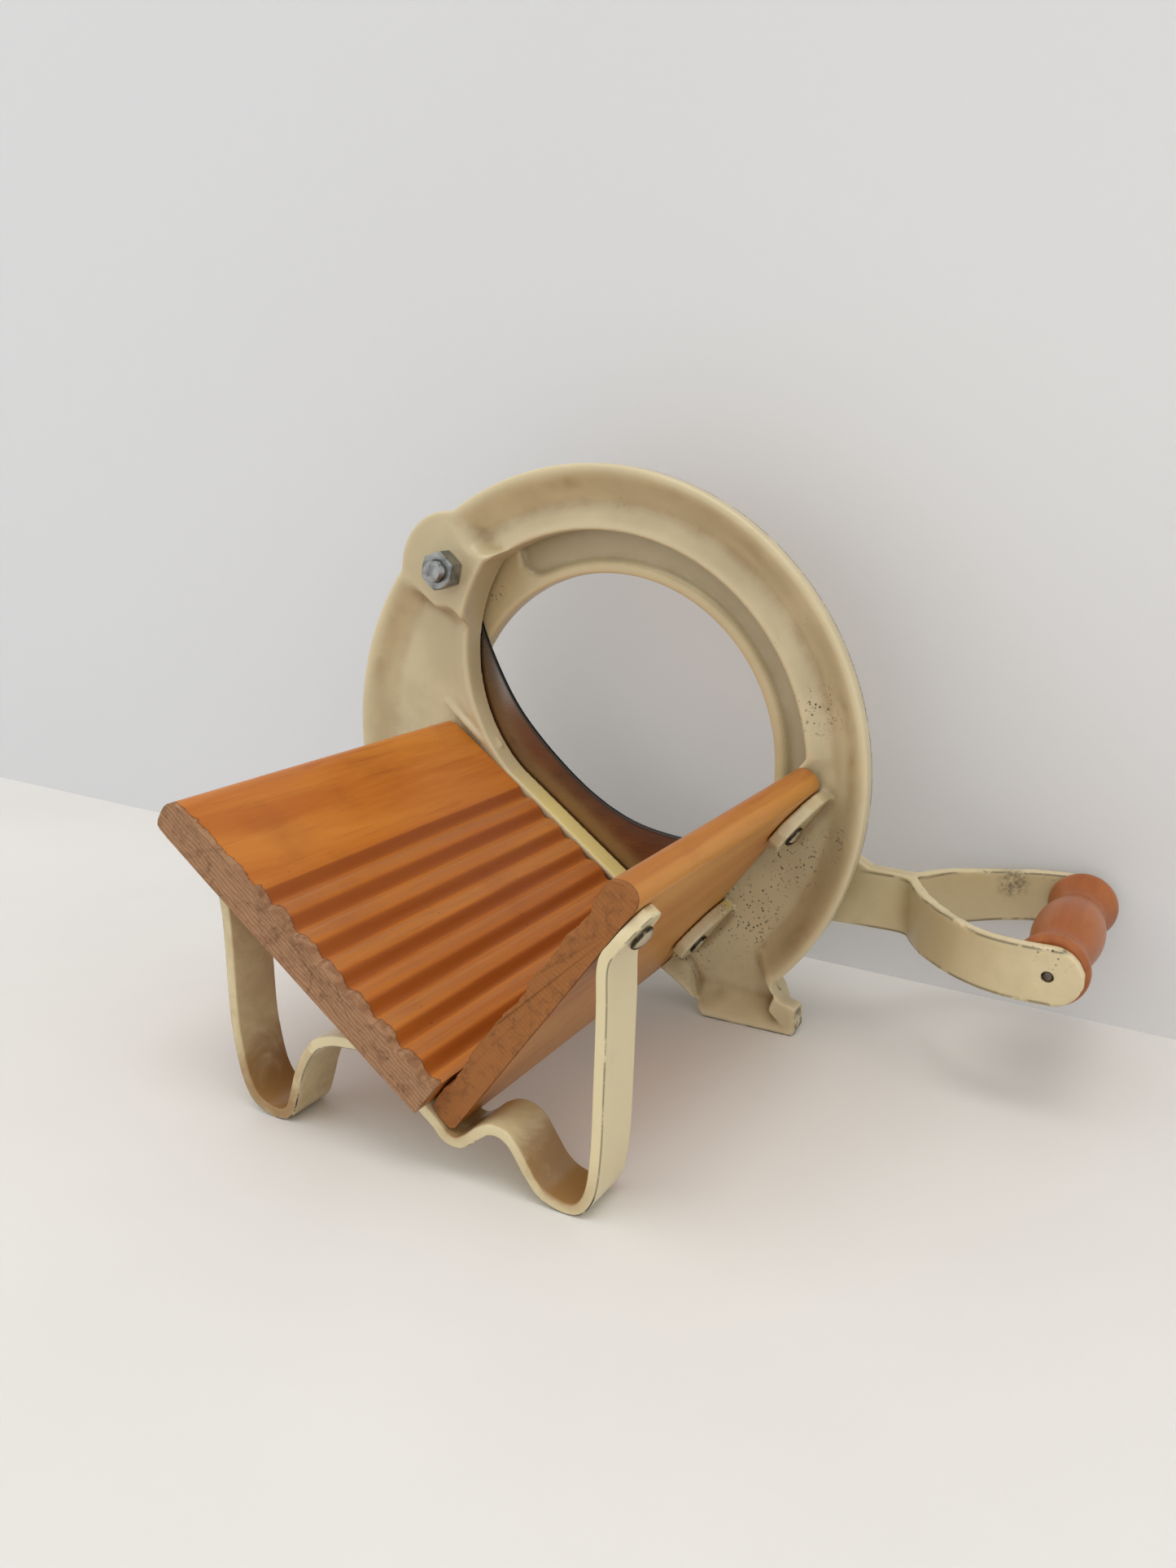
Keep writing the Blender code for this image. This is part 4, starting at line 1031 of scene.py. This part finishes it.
# ---- knife arm ----
def arm_loops():
    steps = 200
    loops = []
    for i in range(steps + 1):
        degrees = ARM_START + (ARM_END - ARM_START) * i / steps
        a = math.radians(degrees)
        c = math.cos(a)
        s = math.sin(a)
        middle = 0.5 * (ARM_IN_R + ARM_OUT_R)
        half = 0.5 * (ARM_OUT_R - ARM_IN_R) - ARM_RIM
        section = [(ARM_IN_R, ARM_FRONT + 0.6), (ARM_IN_R + 0.7, ARM_FRONT)]
        section.append((ARM_IN_R + ARM_RIM - 1.6, ARM_FRONT))
        for k in range(23):
            r = middle + (half + 1.4) * (k / 11.0 - 1.0)
            past = max(ARM_START + 10.0 - degrees, degrees - RECESS_END, 0.0) * math.pi / 180.0 * middle
            inside = half - math.hypot(r - middle, past)
            web = ARM_FRONT + (ARM_WEB_FRONT - ARM_FRONT) * smoothstep(-1.2, 1.4, inside)
            section.append((r, web))
        section.append((ARM_OUT_R - ARM_RIM + 1.6, ARM_FRONT))
        section += [(ARM_OUT_R - 0.7, ARM_FRONT), (ARM_OUT_R, ARM_FRONT + 0.7), (ARM_OUT_R, ARM_BACK - 0.7)]
        section += [(ARM_OUT_R - 0.7, ARM_BACK), (ARM_IN_R + 0.7, ARM_BACK), (ARM_IN_R, ARM_BACK - 0.7)]
        loops.append([(r * c, y, RING_Z + r * s) for r, y in section])
    return loops


def fork_loops(side):
    path = [
        (80.0, 1.3), (104.0, 1.3), (113.0, 1.5), (117.6, 3.6), (120.4, 8.6), (124.2, 14.6), (129.4, 20.4),
        (135.4, 26.0), (142.4, 31.2), (151.0, 35.4),
    ]
    path += [(HANDLE_X + d, FORK_HALF) for d in (160.0 - HANDLE_X, 0.0, 4.5, 7.6, 9.3, FORK_END)]
    curve = spline([(x, ARM_MIDDLE + side * out) for x, out in path], 9)
    loops = []
    for p, normal in with_normals(curve):
        blend = smoothstep(108.0, 146.0, p.x)
        half = 0.5 * (ROOT_H + (FORK_H - ROOT_H) * blend)
        mid = ROOT_Z + (HANDLE_Z - ROOT_Z) * blend
        past = max(0.0, p.x - HANDLE_X - 0.6) / (FORK_END - 0.6)
        half *= math.sqrt(max(1.0 - past * past, 0.06))
        a = p + normal * FORK_T / 2.0
        b = p - normal * FORK_T / 2.0
        rows = 8
        loop = [(a.x, a.y, mid - half + 2.0 * half * k / rows) for k in range(rows + 1)]
        loop += [(b.x, b.y, mid + half - 2.0 * half * k / rows) for k in range(rows + 1)]
        loops.append(loop)
    return loops


RIVETS = ((-66.5, 141.5), (-61.5, 127.0), (55.0, 44.0), (44.5, 32.5))


def rivet_holes(name):
    return [rod("%s_%d" % (name, i), *at, RIVET_HOLE_R, 10.0, 40.0) for i, at in enumerate(RIVETS)]


def make_knife_arm(mat):
    bm = bmesh.new()
    loft(bm, arm_loops(), False)
    eye = [(0.0, ARM_FRONT), (21.0, ARM_FRONT), (22.0, ARM_FRONT + 1.0), (22.0, ARM_BACK), (0.0, ARM_BACK)]
    lathe(bm, eye, PIVOT_3D, Y_AXIS, 72)
    for degrees in (ARM_START, ARM_END):
        a = math.radians(degrees)
        r = 0.5 * (ARM_IN_R + ARM_OUT_R)
        half = 0.5 * (ARM_OUT_R - ARM_IN_R) - 0.05
        end = [(0.0, ARM_FRONT), (half - 0.6, ARM_FRONT), (half, ARM_FRONT + 0.6), (half, ARM_BACK)]
        end.append((0.0, ARM_BACK))
        lathe(bm, end, (r * math.cos(a), 0.0, RING_Z + r * math.sin(a)), Y_AXIS, 60)
    for side in (-1.0, 1.0):
        loft(bm, fork_loops(side), False)
    low = ROOT_Z - ROOT_H / 2.0
    high = ROOT_Z + ROOT_H / 2.0
    root = [
        (74.0, 38.0), (104.0, low + 0.2), (118.2, low + 0.2), (118.2, high - 0.2), (102.0, high + 0.6),
        (88.0, 68.0), (74.0, 70.0),
    ]
    loft(bm, [[(x, y, z) for x, z in root] for y in (ARM_FRONT + 0.2, ARM_BACK - 0.2)], False)
    obj = new_object("knife_arm_casting", bm)
    tools = [rod("cut_arm_bolt", *PIVOT, BOLT_R + GAP, 10.0, 40.0)]
    tools.append(rod("cut_arm_pin", HANDLE_X, HANDLE_Z, PIN_HOLE_R, -60.0, 90.0))
    cast(obj, 0.65, 3, tools + rivet_holes("cut_arm_rivet"))
    paint_curvature(obj)
    x, y, z = design_points(obj).T
    beyond = fade(x, 96.0, 104.0)
    blend = fade(x, 108.0, 146.0)
    mid = ROOT_Z + (HANDLE_Z - ROOT_Z) * blend
    half = 0.5 * (ROOT_H + (FORK_H - ROOT_H) * blend)
    rise = np.abs(np.abs(z - mid) - half + 0.75)
    store(obj, "line", bell(rise, 0.0, 0.35) * beyond * 0.8)
    radius = np.hypot(x, z - RING_Z)
    # the arm's web seen through the opening is greyed as painted shade
    web = (y > ARM_FRONT + 1.2) & (y < ARM_WEB_FRONT + 0.5) & (np.abs(radius - 79.4) < 11.0)
    store(obj, "web_shade", np.where(web & (x < 90.0), 0.5, 0.0))
    dress(obj, mat, "arm", "knife_arm")


def make_blade(mat):
    spine = spline(SPINE, 24)
    edge = spline(EDGE, 24)
    loops = []
    for a, b in zip(spine, edge):
        across = b - a
        loop = [(a.x, BLADE_FRONT + 0.25, a.y)]
        for t in (0.012, 0.04, 0.1, 0.16, 0.24, 0.4, 0.6, 0.8, 0.86):
            p = a + across * t
            loop.append((p.x, BLADE_FRONT, p.y))
        loop += [(b.x, BLADE_BACK - 0.2, b.y), (b.x, BLADE_BACK, b.y), (a.x, BLADE_BACK, a.y)]
        loops.append(loop)
    obj = lofted("blade_plate", loops)
    cut(obj, rivet_holes("cut_blade"))
    sharpen(obj, 7.0)
    x, _, z = design_points(obj).T
    across = np.full(len(x), 99.0)
    for p in spine:
        across = np.minimum(across, np.hypot(x - p.x, z - p.y))
    store(obj, "spine", 1.0 - across / 0.9)
    store(obj, "back", 0.8 * (1.0 - across / 9.0))
    dress(obj, mat, "arm", "blade")


def make_rivets(mat):
    for i, (x, z) in enumerate(RIVETS):
        profile = [(0.0, BLADE_FRONT + 0.1), (1.9, BLADE_FRONT + 0.1), (2.1, BLADE_FRONT + 0.3)]
        profile += [(2.1, ARM_BACK + GAP), (3.9, ARM_BACK + GAP)]
        profile += dome(4.0, 2.0, ARM_BACK + 0.45, range(0, 90, 9)) + [(0.0, ARM_BACK + 2.45)]
        obj = turned("rivet_%d" % (i + 1), profile, (x, 0.0, z))
        finish_turned(obj, 50.0, mat, "arm", "blade_rivet_%d" % (i + 1))


# ---- screws ----
SCREWS = (
    ("lug_screw_upper_right", RIGHT_OUT_E, 109.5, -9.0, 4.9, 25.0),
    ("lug_screw_lower_right", RIGHT_OUT_E, 54.0, -9.2, 4.9, 60.0),
    ("lug_screw_upper_left", -85.0, LEFT_BOTTOM_M, -9.0, 4.9, 10.0),
    ("lug_screw_lower_left", -25.0, LEFT_BOTTOM_M, -9.0, 4.9, -30.0),
    ("leg_screw_right", RIGHT_OUT_E, 113.0, -121.9, STRAP_T + GAP, 40.0),
    ("leg_screw_left", -97.0, LEFT_BOTTOM_M, -121.9, STRAP_T + GAP, 70.0),
    ("leg_screw_centre", -6.0, LEFT_BOTTOM_M, -121.9, STRAP_T + GAP, -50.0),
)


def make_screw(name, e, m, y, seat, slot_angle, mat):
    x0, z0 = from_slope(e, m)
    x1, z1 = from_slope(e + 1.0, m) if e == RIGHT_OUT_E else from_slope(e, m - 1.0)
    centre = Vector((x0, y, z0))
    out = Vector((x1 - x0, 0.0, z1 - z0)).normalized()
    base = seat + 0.35
    profile = [(0.0, -7.2), (0.9, -6.6), (1.75, -4.8), (1.75, base), (3.7, base)]
    profile += [(3.9, base + 0.2), (3.9, base + 0.45)]
    profile += dome(3.85, 1.65, base + 0.55, range(6, 90, 7))
    profile.append((0.0, base + 2.2))
    obj = turned("head_" + name, profile, centre, out, 64)
    along = Matrix.Rotation(math.radians(slot_angle), 3, out) @ Vector((0.0, 1.0, 0.0))
    cross = out.cross(along).normalized()
    loops = []
    for h in (base + 1.05, base + 4.0):
        corners = ((5.0, 0.48), (-5.0, 0.48), (-5.0, -0.48), (5.0, -0.48))
        loops.append([centre + out * h + along * u + cross * v for u, v in corners])
    cut(obj, [lofted("cut_slot", loops)])
    sharpen(obj, 40.0)
    co = design_points(obj)
    rel = co - np.array(centre, np.float32)
    across = np.abs(rel @ np.array(cross, np.float32))
    height = rel @ np.array(out, np.float32)
    radius = np.linalg.norm(rel - np.outer(height, np.array(out, np.float32)), axis=1)
    slot = (across < 0.55) & (height < base + 1.3) & (height > base + 0.9)
    store(obj, "dirt", np.maximum(slot * 1.0, fade(radius, 3.5, 3.9) * 0.8))
    dress(obj, mat, "base", name)


# ---- pivot hardware ----
def hexagon(flats, y, turn):
    r = flats / math.sqrt(3.0)
    corners = [math.radians(60.0 * i + turn) for i in range(6)]
    return [(PIVOT[0] + r * math.cos(a), y, PIVOT[1] + r * math.sin(a)) for a in corners]


def chamfered_hex(name, flats, y0, y1, turn, both):
    """Hexagon whose corners are turned off by a cone, on one face or both."""
    obj = lofted(name, [hexagon(flats, y0, turn), hexagon(flats, y1, turn)])
    r = flats / 2.0
    profile = [(0.0, y0 - 0.01), (r - 0.15, y0 - 0.01), (r + 1.4, y0 + 1.0), (r + 3.0, y0 + 1.9)]
    if both:
        profile += [(r + 3.0, y1 - 2.2), (r + 1.4, y1 - 0.72), (r - 0.15, y1 + 0.01)]
    else:
        profile += [(r + 3.0, y1 - 1.0), (r + 3.0, y1), (r + 3.0, y1 + 0.01)]
    profile.append((0.0, y1 + 0.01))
    cut(obj, [turned("cone", profile, steps=96)], "INTERSECT")
    return obj


def finish_small(obj, mat, node, width=0.18):
    edge_round(obj, width)
    finish_turned(obj, 35.0, mat, "base", node)


def thread(bm, radius, y0, y1, steps=40):
    """Rod with a real helical thread, its axis on the pivot."""
    samples = int((y1 - y0) / THREAD_PITCH * 4) + 1
    lines = []
    for i in range(steps):
        a = 2.0 * math.pi * i / steps
        line = []
        for k in range(samples + 1):
            y = y0 + (y1 - y0) * k / samples
            phase = ((y - y0) / THREAD_PITCH - i / steps) % 1.0
            r = radius - THREAD_DEPTH * abs(2.0 * phase - 1.0)
            if k in (0, samples):
                r = radius - THREAD_DEPTH
            line.append((PIVOT[0] + r * math.cos(a), y, PIVOT[1] + r * math.sin(a)))
        lines.append(line)
    rings = wrap(bm, lines)
    bm.faces.new([ring[0] for ring in rings])
    bm.faces.new([ring[-1] for ring in reversed(rings)])


def make_pivot(bolt_mat, nut_mat, washer_mat):
    head_y = ARM_BACK + 2.4
    tip_y = -NUT_H - BOLT_PAST_NUT
    bolt = chamfered_hex("pivot_bolt_head", NUT_FLATS, head_y, head_y + BOLT_HEAD_H, 0.0, True)
    finish_small(bolt, bolt_mat, "pivot_bolt")
    bm = bmesh.new()
    thread(bm, BOLT_R - 0.02, tip_y, 4.0)
    shank = new_object("pivot_bolt_thread", bm)
    finish_turned(shank, 40.0, bolt_mat, "base", "")
    plain = rod("pivot_bolt_shank", *PIVOT, BOLT_R - 0.1, 3.8, head_y + 0.5)
    finish_turned(plain, 40.0, bolt_mat, "base", "")
    nut = chamfered_hex("pivot_nut_hex", NUT_FLATS, -0.5 - NUT_H, -0.5, 18.0, False)
    cut(nut, [rod("cut_nut", *PIVOT, BOLT_R + 0.2, -20.0, 20.0)])
    finish_small(nut, nut_mat, "pivot_nut")
    for name, r0, r1, y0, y1, node in (
        ("spacer_disc", BOLT_R + 0.35, 10.0, FRAME_BACK + GAP, ARM_FRONT - GAP, "pivot_spacer"),
        ("washer_disc", BOLT_R + 0.35, 9.0, ARM_BACK + GAP, ARM_BACK + 2.0, "pivot_washer"),
    ):
        obj = rod(name, *PIVOT, r1, y0, y1)
        cut(obj, [rod("cut_disc", *PIVOT, r0, y0 - 5.0, y1 + 5.0)])
        finish_small(obj, washer_mat, node, 0.2)


# ---- handle ----
def make_handle(mat, pin_mat):
    reach = FORK_HALF - FORK_T / 2.0 - 0.5
    half = [
        (11.2, 0.0), (11.15, 2.4), (10.8, 6.5), (9.9, 12.0), (8.7, 17.0), (8.3, 20.0), (8.6, 23.0),
        (10.0, 27.0), (11.1, 29.8), (11.5, 31.8), (11.2, 33.6), (10.4, 34.4), (9.4, reach),
        (6.0, reach), (2.2, reach),
    ]
    path = spline([Vector(p) for p in half], 6)
    outside = [(p.x, ARM_MIDDLE - p.y) for p in reversed(path)]
    outside += [(p.x, ARM_MIDDLE + p.y) for p in path[1:]]
    profile = [(PIN_HOLE_R, ARM_MIDDLE - reach + 0.3)] + outside
    profile.append((PIN_HOLE_R, ARM_MIDDLE + reach - 0.3))
    steps = 96
    loops = []
    for i in range(steps):
        a = 2.0 * math.pi * i / steps
        loops.append([(HANDLE_X + r * math.cos(a), y, HANDLE_Z + r * math.sin(a)) for r, y in profile])
    obj = lofted("roller_wood_spool", loops, True)
    dress(obj, mat, "roller", "handle_roller")

    outer = FORK_HALF + FORK_T / 2.0
    front = ARM_MIDDLE - outer + 0.6
    back = ARM_MIDDLE + outer + 0.4
    profile = [(0.0, front + 0.12), (0.5, front + 0.1), (0.9, front), (1.3, front + 0.12)]
    profile += [(1.6, front + 0.5), (1.6, back), (2.8, back)]
    profile += dome(2.9, 1.1, back + 0.6, range(0, 90, 10)) + [(0.0, back + 1.75)]
    pin = turned("roller_pin_rod", profile, (HANDLE_X, 0.0, HANDLE_Z), steps=40)
    finish_turned(pin, 45.0, pin_mat, "arm", "roller_pin")


# ---- stage ----
def make_camera():
    cam = bpy.data.cameras.new("camera")
    cam.sensor_fit = "VERTICAL"
    cam.sensor_height = 36.0
    cam.lens = CAMERA_LENS
    obj = link("camera", cam)
    forward = Vector(CAMERA_FORWARD).normalized()
    right = forward.cross(Vector(CAMERA_UP).normalized()).normalized()
    up = right.cross(forward).normalized()
    turn = Matrix((right, up, -forward)).transposed()
    obj.matrix_world = Matrix.Translation(world(*CAMERA_AT)) @ turn.to_4x4()
    bpy.context.scene.camera = obj


def make_stage():
    bm = bmesh.new()
    bmesh.ops.create_grid(bm, x_segments=2, y_segments=2, size=FLOOR_HALF)
    mesh = bpy.data.meshes.new("floor")
    bm.to_mesh(mesh)
    bm.free()
    floor = link("floor", mesh)
    s = Shader("floor_paint")
    cloud = s.ramp(s.noise(6.0, 4.0), 0.3, 0.7)
    mesh.materials.append(s.finish(s.mix(cloud, rgb(219, 217, 213), rgb(223, 221, 217)), 0.5))

    wall_mesh = bpy.data.meshes.new("wall")
    left = world(-3600.0, 298.0, -1.0)
    right = world(2600.0, -84.0, -1.0)
    up = Vector((0.0, 0.0, 4.0))
    wall_mesh.from_pydata([left, right, right + up, left + up], [], [(0, 1, 2, 3)])
    wall = link("wall", wall_mesh)
    s = Shader("wall_paint")
    # a painted pool of light on the backdrop behind the handle
    painted_light_pool = s.times(s.near((180.0, 66.0, 110.0), 360.0), 0.3)
    wall_mesh.materials.append(s.finish(s.mix(painted_light_pool, WALL, rgb(232, 231, 230)), 0.6))
    behind = s.node("ShaderNodeNewGeometry").outputs["Backfacing"]
    clear = s.node("ShaderNodeBsdfTransparent").outputs[0]
    choose = s.node("ShaderNodeMixShader", ((0, behind), (1, s.bsdf.outputs[0]), (2, clear)))
    s.feed(s.tree.nodes["Material Output"].inputs["Surface"], choose.outputs[0])

    bpy.context.scene.view_settings.view_transform = "Standard"
    sky = bpy.data.worlds.new("studio")
    bpy.context.scene.world = sky
    sky.use_nodes = True
    sky.node_tree.nodes["Background"].inputs[0].default_value = (1.0, 0.992, 0.975, 1.0)
    sky.node_tree.nodes["Background"].inputs[1].default_value = SKY
    sun = bpy.data.lights.new("window", "SUN")
    sun.energy = SUN
    sun.angle = math.radians(SUN_SPREAD)
    sun.color = (1.0, 0.98, 0.95)
    holder = link("window", sun)
    holder.rotation_euler = Vector(SUN_TO).to_track_quat("-Z", "Y").to_euler()


def main():
    frame_paint = enamel(
        "frame_enamel_paint", rgb(184, 169, 133), rgb(206, 191, 154), rgb(152, 128, 90),
        clusters=(((86.0, 6.0, 116.0), 12.0), ((94.0, 6.0, 72.0), 9.0), ((78.0, 5.0, 62.0), 16.0),
                  ((58.0, 8.0, 38.0), 20.0), ((40.0, 6.0, 22.0), 14.0), ((68.0, 8.0, 46.0), 12.0)),
    )
    arm_paint = enamel(
        "arm_enamel_paint", rgb(188, 171, 130), rgb(208, 192, 152), rgb(152, 122, 80),
        clusters=(((-52.0, 19.0, 150.0), 9.0), ((168.0, -18.0, 56.0), 9.0), ((158.0, 58.0, 58.0), 9.0)),
        smudges=(((143.0, 54.0, 52.0), 8.5),),
    )
    strap_paint = enamel(
        "strap_enamel_paint", rgb(200, 184, 142), rgb(214, 200, 160), rgb(146, 110, 64),
        stain_gain=0.95, dash=210.0,
    )
    amber = wood(
        "amber_varnish", rgb(196, 122, 46), rgb(176, 98, 30), rgb(138, 68, 22),
        bare=rgb(148, 108, 78), hatch=rgb(178, 140, 104),
    )
    tan = wood(
        "tan_varnish", rgb(194, 136, 64), rgb(178, 110, 46), rgb(150, 80, 28),
        bare=rgb(152, 98, 52), hatch=rgb(144, 88, 44),
    )
    red = wood(
        "roller_varnish", rgb(164, 98, 52), rgb(148, 82, 40), rgb(124, 62, 30),
        bare=rgb(150, 100, 70), hatch=rgb(120, 70, 44), slope=0.0,
    )
    nickel = metal(
        "screw_nickel_plate", rgb(196, 186, 160), rgb(150, 138, 112), 0.26, 0.95, spot=rgb(40, 32, 24),
    )
    zinc = metal("zinc_plate", rgb(168, 171, 172), rgb(122, 125, 126), 0.34, 0.7)
    dark = metal("pin_dark_steel", rgb(120, 112, 104), rgb(78, 70, 62), 0.4, 0.8)
    make_front_frame(frame_paint)
    make_left_board(amber)
    make_right_board(tan)
    make_leg_strap(strap_paint)
    make_knife_arm(arm_paint)
    make_blade(blade_steel("blade_film_and_reflection"))
    make_rivets(metal("rivet_plain_steel", rgb(150, 148, 142), rgb(104, 98, 90), 0.4))
    for name, e, m, y, seat, angle in SCREWS:
        make_screw(name, e, m, y, seat, angle, nickel)
    make_pivot(zinc, metal("nut_zinc_plate", rgb(160, 163, 162), rgb(114, 117, 116), 0.32, 0.6), zinc)
    make_handle(red, dark)
    make_camera()
    make_stage()


main()
